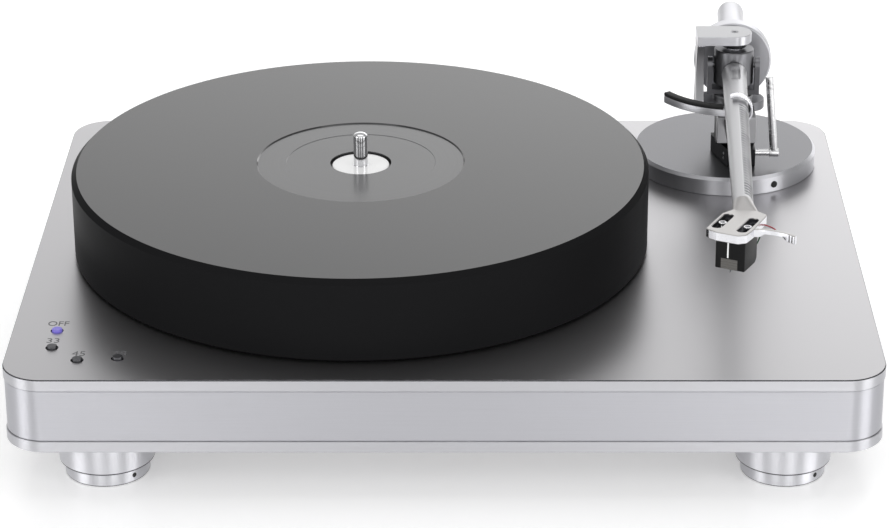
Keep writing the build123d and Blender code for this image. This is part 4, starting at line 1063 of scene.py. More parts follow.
@dataclass
class Plinth(Assembly):
    """The sandwich plinth with its feet, buttons, prints and rear connectors."""

    width: float = 420.0
    depth: float = 330.0
    corner: float = 20.0
    corner_steps: int = 20
    edge: float = 0.5
    rim_depth: float = 0.8
    seam_edge: float = 0.3
    band_inset: float = 0.5
    band_thick: float = 2.0
    band_edge: float = 0.45
    floor_z: float = 26.0
    band_z: float = 31.8
    button_radius: float = 2.5
    button_gap: float = 0.15
    button_proud: float = 1.2
    button_length: float = 9.0
    button_break: float = 0.4
    button_dish: float = 0.05
    button_places: dict[str, tuple[float, float]] = field(
        default_factory=lambda: {
            "button_off": (-188.2, 54.3), "button_33": (-188.4, 35.5), "button_45": (-174.8, 21.9),
            "button_78": (-155.7, 23.8),
        }
    )
    prints: tuple[tuple[str, float, float, float], ...] = (
        ("OFF", -188.4, 62.4, 10.2), ("33", -188.8, 43.4, 6.0), ("45", -174.9, 29.0, 6.4),
        ("78", -155.4, 29.2, 6.8),
    )
    print_height: float = 5.0
    screw_out: float = 116.0
    screw_inset: float = 24.0
    screw_head: float = 4.8
    screw_head_height: float = 2.6
    screw_gap: float = 0.15
    screw_key: float = 1.9
    screw_socket: float = 1.6
    foot_out: float = 164.4
    foot_inset: float = 34.7
    post_radius: float = 23.3
    post_z: float = 7.3
    post_edge: float = 0.9
    post_gap: float = 0.3
    post_bore: float = 4.1
    post_bore_depth: float = 10.0
    ring_radius: float = 20.5
    ring_edge: float = 0.5
    stud_radius: float = 4.0
    stud_length: float = 11.0
    grub_radius: float = 1.2
    grub_deep: float = 3.0
    grub_proud: float = 0.05
    grub_turn: float = math.radians(44.6)
    knob_radius: float = 3.42
    knob_swing: float = 0.08
    knob_ridges: int = 30
    knob_length: float = 8.9
    knob_break: float = 0.4
    knob_stem: float = 2.0
    sockets_right: tuple[float, float] = (72.0, 92.0)
    sleeve_radii: tuple[float, float] = (1.75, 3.1)
    sleeve_ends: tuple[float, float] = (-0.6, 0.12)

    def screws(self) -> list[np.ndarray]:
        """Return the places of the plinth's screws."""
        out = self.screw_out
        front, back = self.at.front_y + self.screw_inset, self.at.back_y - self.screw_inset
        places = [(-out, front), (-out, back), (0.0, front), (out, front), (out, back)]
        return [np.array(place) for place in places]

    def feet(self) -> list[tuple[float, float]]:
        """Return the places of the three feet."""
        front, back = self.at.front_y + self.foot_inset, self.at.back_y - self.foot_inset
        return [(-self.foot_out, front), (self.foot_out, front), (0.0, back)]

    def build(self) -> None:
        """Build and dress every piece of the plinth."""
        bench, finish = self.bench, self.finish
        self._plates()
        self._controls()
        self._feet()
        self._rear()
        bench.dress(finish.board, "core_board", "core_left", "core_front", "core_rear_left")
        bench.dress(finish.circuit, "control_board")
        bench.dress(finish.plastic, "button_switches")

    def _edge_faces(self, spot: np.ndarray) -> np.ndarray:
        """Tell the faces of a plate's outer edge.

        Args:
            spot: The faces' middles in millimetres.

        Returns:
            True where the rounded outline is nearer than the rim's depth.
        """
        half = np.array([self.width / 2 - self.corner, self.depth / 2 - self.corner])
        out = np.maximum(np.abs(spot[:, :2] - np.array([0.0, self.at.plinth_y])) - half, 0.0)
        return np.hypot(out[:, 0], out[:, 1]) > self.corner - self.rim_depth

    def _outline(self, gap: float) -> np.ndarray:
        """Return the plinth's rounded outline, smaller by a gap on every side."""
        sides = (self.width - 2 * gap, self.depth - 2 * gap)
        return rounded_box(*sides, self.corner - gap, self.corner_steps, (0.0, self.at.plinth_y))

    def _plates(self) -> None:
        """Build the two plates, the band and the screws from below."""
        bench, finish = self.bench, self.finish
        at = self.at
        level = Frame.level()
        wells = [
            circle(self.button_radius + self.button_gap, 40, (x, at.front_y + y))
            for x, y in self.button_places.values()
        ]
        bores = [circle(self.screw_head + self.screw_gap, 40, place) for place in self.screws()]
        top_levels = [
            (self.seam_edge, at.plate_z), (0.0, at.plate_z + self.seam_edge),
            (0.0, at.deck_z - self.edge), (self.edge, at.deck_z),
        ]
        bottom_levels = [
            (self.edge, self.floor_z), (0.0, self.floor_z + self.edge),
            (0.0, self.band_z - self.seam_edge), (self.seam_edge, self.band_z),
        ]
        plates = (("top_plate", top_levels, wells), ("bottom_plate", bottom_levels, bores))
        for node, levels, holes in plates:
            plate = bench.stand(node, slab(self._outline(0.0), levels, level, holes), finish.deck)
            bench.paint(plate, finish.rim, self._edge_faces)
            if node == "top_plate":
                # The upper chamfer takes a darker finish: a painted reflection of the dark behind the
                # plinth
                bench.paint(plate, finish.cut, between(at.deck_z - self.edge + 0.05, at.deck_z - 0.05))
        outer = self._outline(self.band_inset)
        band_levels = [
            (self.band_edge, self.band_z), (0.0, self.band_z + self.band_edge),
            (0.0, at.plate_z - self.band_edge), (self.band_edge, at.plate_z),
        ]
        inner = inset(inset(outer, self.band_thick), 2 * self.band_edge)
        bench.stand("side_band", slab(outer, band_levels, level, [inner]), finish.band)
        head_foot = self.floor_z + self.screw_head_height + 0.1
        heads = [
            socket_head(
                Frame.facing((*place, head_foot), (0, 0, -1)), self.screw_head,
                self.screw_head_height - 0.2, self.screw_key, self.screw_socket,
            )
            for place in self.screws()
        ]
        bench.stand("plinth_screws", Shell.joined(heads), finish.steel)

    def _controls(self) -> None:
        """Build the buttons and the prints behind them."""
        bench, finish = self.bench, self.finish
        at = self.at
        top = at.deck_z + self.button_proud
        profile = eased(
            [
                (0.0, top - self.button_length), (self.button_radius, top - self.button_length),
                (self.button_radius, top), (self.button_radius * 0.6, top - self.button_dish * 0.4),
                (0.0, top - self.button_dish),
            ],
            self.button_break, 4, closed=False,
        )
        for name, (x, y) in self.button_places.items():
            cap = turned(profile, Frame.level(x, at.front_y + y), 48)
            bench.stand(name, cap, finish.lit if name == "button_off" else finish.button)
        for words, x, y, width in self.prints:
            name = "print_" + words.lower()
            frame = Frame.level(x, at.front_y + y, at.deck_z)
            mesh = lettering_mesh(name, words, frame, width, self.print_height)
            bench.lay(name, mesh, finish.ink, "plinth")

    def _feet(self) -> None:
        """Build the foot posts, and the foot rings with black plugs in their grub holes, which stand as
        painted shade for the dark holes.
        """
        bench, finish = self.bench, self.finish
        profile = eased(
            [
                (0.0, self.floor_z), (self.post_radius, self.floor_z), (self.post_radius, self.post_z),
                (self.post_bore, self.post_z), (self.post_bore, self.post_z + self.post_bore_depth),
                (0.0, self.post_z + self.post_bore_depth),
            ],
            self.post_edge, 3, closed=False,
        )
        posts = [turned(profile, Frame.level(x, y), 128) for x, y in self.feet()]
        posts = bench.stand("foot_posts", Shell.joined(posts), finish.turned)
        # The post's lower edge break is painted dark: painted shade over the narrow gap to the ring
        bench.paint(posts, finish.seam, lambda spot: spot[:, 2] < self.post_z + self.post_edge)
        high = self.post_z - self.post_gap
        profile = eased(
            [
                (0.0, 0.0), (self.ring_radius, 0.0), (self.ring_radius, high), (self.stud_radius, high),
                (self.stud_radius, high + self.stud_length), (0.0, high + self.stud_length),
            ],
            self.ring_edge, 3, closed=False,
        )
        outward = np.array([math.sin(self.grub_turn), -math.cos(self.grub_turn), 0.0])
        mouth = outward * self.ring_radius + np.array([0, 0, high / 2])
        for name, place in zip(("foot_front_left", "foot_front_right", "foot_rear"), self.feet()):
            frame = Frame.level(*place)
            ring = bench.stand(name, turned(profile, frame, 128), finish.turned)
            # The ring's lower edge is painted dark: painted shade where it meets the floor
            bench.paint(ring, finish.seam, lambda spot: spot[:, 2] < self.ring_edge)
            hole = Frame.facing(frame.place(mouth), outward)
            # A black plug proud at the hole's mouth: painted shade for the dark grub hole
            plug = pin(self.grub_radius, -self.grub_deep, self.grub_proud, hole, 40)
            bench.lay(name + "_grub", plug, finish.rubber, name)

    def _rear(self) -> None:
        """Build the connectors on the back."""
        bench, finish = self.bench, self.finish
        bench.smooth("terminal_plate", finish.dark, 0.25)
        bench.smooth("power_inlet", finish.plastic, 0.2)
        bench.smooth("signal_sockets", finish.gold, 0.15)
        low, high = self.at.corners("ground_post")
        middle = (low + high) / 2
        back = Frame.facing((middle[0], low[1], middle[2]), (0, 1, 0))
        # Knurled knob: its radius swings with the turn, r = radius - swing cos(ridges t)
        turn = np.linspace(0, 2 * math.pi, 240, endpoint=False)
        radius = self.knob_radius - self.knob_swing * np.cos(self.knob_ridges * turn)
        tip = float(high[1] - low[1])
        foot, ease = tip - self.knob_length, self.knob_break
        knob = slab(
            np.stack([radius * np.cos(turn), radius * np.sin(turn)], -1),
            [(ease, foot), (0.0, foot + ease), (0.0, tip - ease), (ease, tip)], back,
        )
        stem = pin(self.knob_stem, 0.0, foot + 0.1, back, 32)
        bench.stand("ground_post", Shell.joined([stem, knob]), finish.gold)
        (inner, outer), (start, end) = self.sleeve_radii, self.sleeve_ends
        sleeve = [(inner, start), (outer, start), (outer, end), (inner, end), (inner, start)]
        tip = float(self.at.corners("signal_sockets")[1][1])
        names, covers = ("socket_sleeve_left", "socket_sleeve_right"), (finish.white, finish.red)
        for x, name, cover in zip(self.sockets_right, names, covers):
            ring = turned(sleeve, Frame.facing((x, tip, float(middle[2])), (0, 1, 0)), 48)
            bench.lay(name, ring, cover, "plinth")


# Platter


@dataclass
class Platter(Assembly):
    """The thick platter with its disc and spindle, and the drive under it."""

    radius: float = 147.2
    thick: float = 42.2
    top_break: float = 2.6
    foot_break: float = 0.8
    label_radius: float = 52.5
    label_depth: float = 0.6
    step_radius: float = 38.0
    step_depth: float = 0.2
    well_radius: float = 15.6
    well_depth: float = 3.8
    disc_radius: float = 14.6
    disc_thick: float = 2.0
    spindle_radius: float = 3.6
    bore_radius: float = 3.9
    spindle_height: float = 15.8
    dome: float = 1.8
    disc_break: float = 0.25
    wall_from: float = 143.9
    core_radius: float = 10.0
    hollow_radius: float = 100.0
    hollow_height: float = 12.0
    shaft_radius: float = 5.0
    shaft_length: float = 60.0

    def build(self) -> None:
        """Build and dress the platter."""
        bench, finish = self.bench, self.finish
        frame = self.at.platter
        top_z = float(frame.origin[2])
        floor = self.label_depth + self.step_depth
        profile = [
            (self.core_radius, -self.well_depth), (self.well_radius, -self.well_depth),
            (self.well_radius, -floor), (self.step_radius, -floor),
            (self.step_radius + self.step_depth, -self.label_depth),
            (self.label_radius, -self.label_depth), (self.label_radius + self.label_depth, 0.0),
            (self.radius - self.top_break, 0.0), (self.radius, -self.top_break),
            (self.radius, self.foot_break - self.thick), (self.radius - self.foot_break, -self.thick),
            (self.hollow_radius, -self.thick), (self.hollow_radius, self.hollow_height - self.thick),
            (self.core_radius, self.hollow_height - self.thick), (self.core_radius, -self.well_depth),
        ]
        piece = bench.stand("platter", turned(profile, frame, 360), finish.platter)
        bench.paint(
            piece, finish.platter_wall,
            lambda spot: (self._away(spot) > self.wall_from) & (spot[:, 2] < top_z - 0.01)
            | (spot[:, 2] < top_z - self.thick / 2),
        )
        bench.paint(
            piece, finish.label,
            lambda spot: (self._away(spot) < self.label_radius) & (spot[:, 2] > top_z - 1.0),
        )
        seat, ease = -self.well_depth, self.disc_break
        top = seat + self.disc_thick
        disc = [
            (self.bore_radius, seat), (self.disc_radius, seat), (self.disc_radius, top - ease),
            (self.disc_radius - ease, top), (self.bore_radius, top), (self.bore_radius, seat),
        ]
        bench.stand("centre_disc", turned(disc, frame, 128), finish.white)
        # Dome: r = R sin t, h = top - dome (1 - cos t)
        turn = np.linspace(math.pi / 2, 0, 10)
        height = self.spindle_height - self.dome + self.dome * np.cos(turn)
        shaft = [
            (0.0, -self.shaft_length), (self.shaft_radius, -self.shaft_length),
            (self.shaft_radius, seat), (self.bore_radius, seat), (self.bore_radius, top),
            (self.spindle_radius, top),
            *np.stack([self.spindle_radius * np.sin(turn), height], -1).tolist(),
        ]
        bench.stand("spindle", turned(shaft, frame, 64), finish.chrome)
        bench.dress(finish.dark, "subplatter")
        bench.dress(finish.gold, "bearing_housing")
        bench.dress(finish.plastic, "thrust_pad")
        bench.dress(finish.rubber, "drive_belt", "motor_grommets")
        bench.dress(finish.steel, "motor", "motor_plate", "motor_pulley")

    def _away(self, spot: np.ndarray) -> np.ndarray:
        """Return how far places are from the spindle's axis."""
        middle = self.at.platter.origin
        return np.hypot(spot[:, 0] - middle[0], spot[:, 1] - middle[1])


# Arm pillar


@dataclass
class Pillar(Assembly):
    """What stands still at the arm: base, post, bracket, lift block and rest."""

    clip_reach: float = 71.0
    clip_inner: float = 7.3
    clip_wall: float = 1.1
    clip_width: float = 6.0
    clip_break: float = 0.35
    clip_from: float = -100.0
    clip_to: float = 115.0
    # The bracket's screws: height over the deck, then radius, height, key and depth of the head
    bracket_heads: tuple[tuple[float, ...], ...] = (
        (74.55, 1.75, 1.2, 0.8, 0.8), (35.8, 3.55, 2.15, 1.6, 1.4),
    )
    # The same for the screws in the lift housing's slanted face, their height aside
    housing_head: tuple[float, ...] = (0.78, 0.95, 0.4, 0.5)
    housing_lifts: tuple[float, float] = (13.4, 16.1)
    housing_share: float = 0.78
    housing_sunk: float = 0.6
    housing_back: tuple[float, float] = (-11.6, -9.3)
    housing_front: tuple[float, float] = (-4.3, -31.3)
    grub_radius: float = 1.85
    grub_length: float = 13.5
    grub_deep: float = 6.0
    grub_turn: float = math.radians(26.0)
    cut_depth: float = 0.5
    base_hole: float = 9.05
    base_top_break: float = 1.5
    base_foot_break: float = 0.4
    block_right: float = 10.6
    housing_right: float = 10.7
    housing_split: float = 20.2
    housing_foot: float = 23.4
    housing_floor: float = 24.0
    # A corner this far beyond its new level is pulled back to it
    pull_gap: float = 0.1

    def build(self) -> None:
        """Build and dress the pillar."""
        bench, finish = self.bench, self.finish
        low, high = self.at.corners("arm_base")
        middle = (low + high) / 2
        radius = float(high[0] - low[0]) / 2
        foot, top = float(low[2]), float(high[2])
        levels = [
            (self.base_foot_break, foot), (0.0, foot + self.base_foot_break),
            (0.0, top - self.base_top_break), (self.base_top_break, top),
        ]
        hole = circle(self.base_hole, 96, self.at.post.origin[:2])
        base = slab(circle(radius, 240, middle[:2]), levels, Frame.level(), [hole])
        base = bench.stand("arm_base", base, finish.grey)
        # The base's wall and foot take a lighter finish than its top: painted light
        bench.paint(base, finish.base_wall_painted_light, lambda spot: spot[:, 2] < top - 0.02)
        bench.smooth("arm_post", finish.steel)
        # The base plate's upright edges are painted darker: painted shade
        self._level_plate("bracket_base", finish.grey)
        side = bench.smooth("bracket_side", finish.silver, 0.35)
        front = self.at.corners("bracket_side")[0][1] + self.cut_depth
        # The side plate's front face is painted brighter: a painted highlight
        bench.paint(side, finish.bright_edge_and_highlight, lambda spot: spot[:, 1] < front)
        # The top plate's upright edges are painted lighter: a painted highlight
        self._level_plate("bracket_top", finish.upright_edge_and_highlight)
        bench.smooth("upper_magnet_holder", finish.dark, 0.2)
        bench.dress(finish.chrome, "upper_magnet")
        bench.smooth("bearing_cup", finish.silver, 0.2)
        block = bench.smooth("lift_block", finish.dark, 0.3)
        self._pull(block, 0, self.block_right + self.pull_gap, math.inf, self.block_right)
        housing = bench.smooth("lift_housing", finish.silver, 0.3)
        self._pull(housing, 0, self.housing_right + self.pull_gap, math.inf, self.housing_right)
        self._pull(housing, 2, self.housing_split, self.housing_floor - self.pull_gap, self.housing_floor)
        self._pull(housing, 2, -math.inf, self.housing_split, self.housing_foot)
        bench.smooth("rest_stem", finish.dark, 0.3)
        self._screws()
        self._clip()

    def _level_plate(self, node: str, edges: Finish) -> None:
        """Build a level plate of the bracket and paint its upright edges with another finish, as painted
        light on them.
        """
        plate = self.bench.smooth(node, self.finish.silver, 0.35)
        low, high = self.at.corners(node)
        self.bench.paint(plate, edges, between(low[2] + self.cut_depth, high[2] - self.cut_depth))

    def _pull(self, piece: bpy.types.Object, axis: int, low: float, high: float, to: float) -> None:
        """Pull a copy's corners that lie from low to high along one axis of the post to one level.

        Args:
            piece: The copy.
            axis: The axis, 0 to 2.
            low: Where the range starts, in millimetres from the post's foot.
            high: Where it ends.
            to: The level they go to.
        """
        spot = np.zeros(len(piece.data.vertices) * 3, np.float32)
        piece.data.vertices.foreach_get("co", spot)
        spot = spot.reshape(-1, 3)
        start = float(self.at.post.origin[axis])
        own = spot[:, axis] / MM - start
        spot[(own >= low) & (own <= high), axis] = (start + to) * MM
        piece.data.vertices.foreach_set("co", spot.ravel())
        piece.data.update()

    def _screws(self) -> None:
        """Build the screws with their sockets."""
        bench, finish = self.bench, self.finish
        post = self.at.post
        heads = [socket_head(post.moved(z=lift), *sizes) for lift, *sizes in self.bracket_heads]
        bench.stand("bracket_screws", Shell.joined(heads), finish.steel)
        # The grub screw is drawn black and filling its hole out to the base's wall: partly its own dark
        # colour, partly painted shade for its hole
        low, high = self.at.corners("base_grub_screw")
        outward = np.array([math.sin(self.grub_turn), -math.cos(self.grub_turn), 0.0])
        grub = Frame.facing((low + high) / 2 - outward * self.grub_deep, outward)
        plug = pin(self.grub_radius, 0.0, self.grub_length, grub, 48)
        bench.stand("base_grub_screw", plug, finish.rubber)
        back = np.array([*self.housing_back, 0.0])
        slant = np.array([*self.housing_front, 0.0]) - back
        outward = unit([slant[1], -slant[0], 0.0])
        heads = []
        for lift in self.housing_lifts:
            face = post.place(back + slant * self.housing_share + np.array([0, 0, lift]))
            spot = Frame.facing(face - outward * self.housing_sunk, outward)
            heads.append(socket_head(spot, *self.housing_head))
        bench.stand("housing_screws", Shell.joined(heads), finish.steel)

    def _clip(self) -> None:
        """Build the springy clip, a strip bent round the tube and open towards the platter."""
        bench, finish = self.bench, self.finish
        turn = np.radians(np.linspace(self.clip_from, self.clip_to, 72))
        radius = self.clip_inner + self.clip_wall / 2
        frame = self.at.arm.moved(z=self.clip_reach)
        path = frame.place(np.stack([radius * np.cos(turn), radius * np.sin(turn), 0 * turn], -1))
        section = rounded_box(self.clip_wall, self.clip_width, self.clip_break, 3)
        bench.stand("rest_clip", swept(path, section, up=self.at.arm.z), finish.bright_edge_and_highlight)


# Lift


@dataclass
class Lift(Assembly):
    """The curved lift bar with its pad, and the lever that works it."""

    bar_radius: float = 43.5
    bar_from: float = 9.0
    bar_to: float = 58.0
    pad_from: float = 11.0
    bar_z: float = 44.4
    bar_thick: float = 3.8
    bar_width: float = 4.0
    bar_break: float = 0.4
    pad_thick: float = 2.0
    pad_break: float = 0.5
    # The tab starts before the pin and ends past the bar: shares of the way between them
    tab_shares: tuple[float, float] = (-0.0896, 1.0304)
    boss_radius: float = 2.0
    pin_left: float = 2.8
    pin_front: float = 26.3
    pin_radius: float = 2.2
    pin_foot: float = 29.4
    lever_lean: float = math.radians(5.2)
    lever_length: float = 43.7
    lever_radius: float = 2.1
    lever_foot: float = 1.5
    lever_break: float = 0.3
    grooves: tuple[float, float] = (6.9, 4.3)
    groove_depth: float = 0.3
    groove_width: float = 0.7
    groove_slope: float = 0.1
    axis_front: float = 27.3
    axis_z: float = 17.0
    shaft_from: float = 3.0
    shaft_end: float = 23.4
    shaft_radius: float = 1.75
    eye_bore: float = 1.7
    eye_radius: float = 2.3
    eye_width: float = 5.0

    def _arc(self, start: float, end: float, height: float) -> np.ndarray:
        """Return the bar's path: (-R sin t, -R cos t) about the post, t from start to end.

        Args:
            start: First turn in degrees.
            end: Last turn in degrees.
            height: Height over the deck.

        Returns:
            Its points in the part's frame.
        """
        turn = np.radians(np.linspace(start, end, 48))
        across, ahead = -self.bar_radius * np.sin(turn), -self.bar_radius * np.cos(turn)
        return self.at.post.place(np.stack([across, ahead, 0 * turn + height], -1))

    def build(self) -> None:
        """Build and dress the lift."""
        bench, finish = self.bench, self.finish
        post = self.at.post
        top, middle_z = self.bar_z + self.bar_thick, self.bar_z + self.bar_thick / 2
        arc = self._arc(self.bar_from, self.bar_to, middle_z)
        bar = swept(arc, rounded_box(self.bar_width, self.bar_thick, self.bar_break, 3))
        first = math.radians(self.bar_from)
        start = np.array([-self.bar_radius * math.sin(first), -self.bar_radius * math.cos(first)])
        foot = np.array([-self.pin_left, -self.pin_front])
        line = foot + (start - foot) * np.linspace(*self.tab_shares, 6)[:, None]
        tab = swept(
            post.place(np.c_[line, np.full(len(line), middle_z)]),
            rounded_box(self.bar_width - 0.1, self.bar_thick - 0.1, self.bar_break, 3),
        )
        axis = post.moved(*foot)
        boss = [
            (0.0, self.bar_z), (self.boss_radius, self.bar_z), (self.boss_radius, top - 0.02),
            (0.0, top - 0.02),
        ]
        boss = turned(eased(boss, 0.3, 3, closed=False), axis, 40)
        stem = pin(self.pin_radius, self.pin_foot, self.bar_z, axis, 40)
        bench.stand("lift_bar", Shell.joined([bar, tab, boss, stem]), finish.upright_edge_and_highlight)
        arc = self._arc(self.pad_from, self.bar_to, top + self.pad_thick / 2)
        pad = swept(arc, rounded_box(self.bar_width, self.pad_thick, self.pad_break, 3))
        bench.stand("lift_pad", pad, finish.rubber)
        across = post.place([0.0, -self.axis_front, self.axis_z])
        across = Frame.facing(across, (1, 0, 0), (0, 1, 0))
        end, near = self.shaft_end, self.shaft_end - self.eye_width
        shaft = pin(self.shaft_radius, self.shaft_from, end - 0.02, across, 40)
        bench.stand("cue_shaft", shaft, finish.rod)
        eye = [(self.eye_bore, near), (self.eye_radius, near), (self.eye_radius, end), (self.eye_bore, end)]
        eye = turned(eased(eye, 0.3, 4, closed=False), across, 56)
        foot = across.place([0.0, 0.0, end - self.eye_width / 2])
        stick = Frame.facing(foot, (-math.sin(self.lever_lean), 0.0, math.cos(self.lever_lean)))
        radius, tip = self.lever_radius, self.lever_length
        profile = [(0.0, self.lever_foot), (radius, self.lever_foot)]
        for far in self.grooves:
            start, stop, floor = tip - far, tip - far + self.groove_width, radius - self.groove_depth
            profile += [
                (radius, start), (floor, start + self.groove_slope), (floor, stop - self.groove_slope),
                (radius, stop),
            ]
        profile += [(radius, tip), (0.0, tip)]
        rod = turned(eased(profile, self.lever_break, 3, closed=False), stick, 48)
        bench.stand("cue_lever", Shell.joined([eye, rod]), finish.rod)


# Tonearm


@dataclass
class Tonearm(Assembly):
    """The yoke, the drum, the tube, the rear shaft and the counterweight."""

    tube_from: float = 17.0
    tube_to: float = 206.0
    tube_rear: float = 6.5
    tube_front: float = 5.1
    bore: float = 4.0
    rib_from: float = 78.0
    rib_to: float = 205.0
    # The real ribs are about 2.2 mm apart, which is too fine for the render to show
    rib_pitch: float = 3.4
    rib_depth: float = 0.3
    rib_right: tuple[float, float] = (6.0, 80.0)
    hollow_from: float = 20.5
    hollow_to: float = 42.0
    hollow_depth: float = 0.7
    hollow_half: float = 26.0
    shaft_radius: float = 7.25
    shaft_end: float = 88.0
    weight_radius: float = 21.0
    weight_from: float = 20.6
    weight_thick: float = 9.0
    weight_drop: float = 4.9
    weight_break: float = 0.8
    weight_slope: float = 0.25
    weight_gap: float = 0.85
    lip_gap: float = 0.05
    lip_wall: float = 1.15
    # The yoke's pivots: radius, height, key and depth of the head, and where they start
    pivot_head: tuple[float, ...] = (1.55, 5.75, 0.8, 0.8)
    pivot_out: float = 8.2
    # Where the rib wave is under this level, the faces are painted dark as shade
    groove_shade_level: float = -0.2

    def build(self) -> None:
        """Build and dress the moving arm."""
        bench, finish = self.bench, self.finish
        bench.smooth("bearing_yoke", finish.grey, 0.2)
        bench.smooth("bearing_drum", finish.grey, 0.2)
        arm = self.at.arm
        pins = [
            socket_head(
                Frame.facing(arm.place([side * self.pivot_out, 0.0, 0.0]), arm.x * side, arm.z),
                *self.pivot_head,
            )
            for side in (-1.0, 1.0)
        ]
        pivots = bench.stand("yoke_pivots", Shell.joined(pins), finish.steel)
        bench.paint(pivots, finish.grey, lambda spot: spot[:, 2] > 0)
        lid = Frame(arm.origin, arm.x, -arm.z, arm.y)
        magnet = turned([(0.0, 9.15), (4.5, 9.15), (4.5, 9.42), (4.3, 9.48), (0.0, 9.48)], lid, 48)
        bench.lay("drum_magnet", magnet, finish.chrome, "tonearm")
        tube = bench.stand("arm_tube", self._tube(), finish.silver)
        # The grooves' hollows are painted dark: painted shade between the ribs
        bench.paint(tube, finish.groove_shade, self._groove_shade_faces)
        rear = Frame(arm.origin, -arm.x, arm.y, -arm.z)
        end = self.shaft_end
        shaft = eased(
            [
                (0.0, 7.4), (self.shaft_radius, 7.4), (self.shaft_radius, end), (3.2, end),
                (2.6, end - 0.6), (2.6, end - 3.0), (0.0, end - 3.0),
            ],
            0.6, 3, closed=False,
        )
        bench.stand("counterweight_shaft", turned(shaft, rear, 96), finish.weight)
        start, stop = self.weight_from, self.weight_from + self.weight_thick
        levels = broken(start, stop, self.weight_break, self.weight_slope)
        hole = circle(self.shaft_radius + self.weight_gap, 96)
        weight = slab(circle(self.weight_radius, 160, (0.0, -self.weight_drop)), levels, rear, [hole])
        inner = self.shaft_radius + self.lip_gap
        outer = inner + self.lip_wall
        lip = [(inner, start), (outer, start + 0.1), (outer, stop - 0.1), (inner, stop), (inner, start)]
        bench.stand("counterweight", Shell.joined([weight, turned(lip, rear, 96)]), finish.weight)

    def _groove_shade_faces(self, spot: np.ndarray) -> np.ndarray:
        """Tell the faces of the tube's grooves that take painted shade, where cos(2 pi s / pitch) is under
        the shade level.

        Args:
            spot: The faces' middles in millimetres.

        Returns:
            True near the bottom of each rib's wave, away from the ribs' ends.
        """
        arm = self.at.arm
        own = (spot - arm.origin) @ np.stack([arm.x, arm.y, arm.z], axis=1)
        s = own[:, 2]
        right = np.degrees(np.arctan2(own[:, 0], own[:, 1]))
        inside = (s > self.rib_from + 1) & (s < self.rib_to - 1)
        beside = (right > self.rib_right[0] + 2) & (right < self.rib_right[1] - 2)
        return inside & beside & (np.cos(2 * math.pi * s / self.rib_pitch) < self.groove_shade_level)

    def _tube(self) -> Shell:
        """Build the tapered tube with its fine cross ribs and the hollow behind its rim.

        Its radius at the distance s and the turn a is the taper, less rib depth times half of
        1 - cos(2 pi s / pitch) where both windows are 1, less the hollow's depth in its own window.
        A window rises and falls as 3u^2 - 2u^3 at both ends.

        Returns:
            The closed shell.
        """
        arm = self.at.arm
        ribs = int((self.rib_to - self.rib_from) / self.rib_pitch)
        rows = np.concatenate(
            [
                np.linspace(self.tube_from, self.rib_from, 60, endpoint=False),
                np.linspace(self.rib_from, self.rib_to, ribs * 8),
                np.linspace(self.rib_to, self.tube_to, 6)[1:],
            ]
        )
        turn = np.radians(np.linspace(0, 360, 96, endpoint=False))
        s, a = np.meshgrid(rows, turn, indexing="ij")
        right = np.degrees((math.pi / 2 - a + math.pi) % (2 * math.pi) - math.pi)
        share = (s - self.tube_from) / (self.tube_to - self.tube_from)
        taper = self.tube_rear + (self.tube_front - self.tube_rear) * share
        along = window(s, self.rib_from, self.rib_to, 4.0)
        round_it = window(right, *self.rib_right, 9.0)
        rib = self.rib_depth * (1 - np.cos(2 * math.pi * s / self.rib_pitch)) / 2 * along * round_it
        dip = self.hollow_depth * window(s, self.hollow_from, self.hollow_to, 5.0)
        dip = dip * window(right, -self.hollow_half, self.hollow_half, 10.0)
        rim = 0.25 * window(s, self.tube_from - 1, self.tube_from + 1.2, 0.4)
        radius = np.minimum(taper - rib - dip + rim, self.tube_rear + 0.2)
        grid = np.stack([radius * np.cos(a), radius * np.sin(a), s], -1)
        first, last = grid[0].copy(), grid[-1].copy()
        shrink = np.array([self.bore / self.tube_rear, self.bore / self.tube_rear, 1.0])
        inner_end = last * np.array([self.bore / self.tube_front, self.bore / self.tube_front, 1.0])
        grid = np.concatenate([(first * shrink)[None], grid, inner_end[None], (first * shrink)[None]])
        return Shell(arm.place(grid.reshape(-1, 3)), grid_faces(len(grid), len(turn)))


def window(value: np.ndarray, start: float, end: float, blend: float) -> np.ndarray:
    """Return 1 between start and end and 0 outside, with soft edges of width blend.

    Args:
        value: Where to read it.
        start: Where it opens.
        end: Where it closes.
        blend: Width of its edges.

    Returns:
        The product of two rises 3u^2 - 2u^3.
    """
    rise = np.clip((value - start) / blend, 0, 1)
    fall = np.clip((end - value) / blend, 0, 1)
    return rise**2 * (3 - 2 * rise) * fall**2 * (3 - 2 * fall)


# Headshell and cartridge


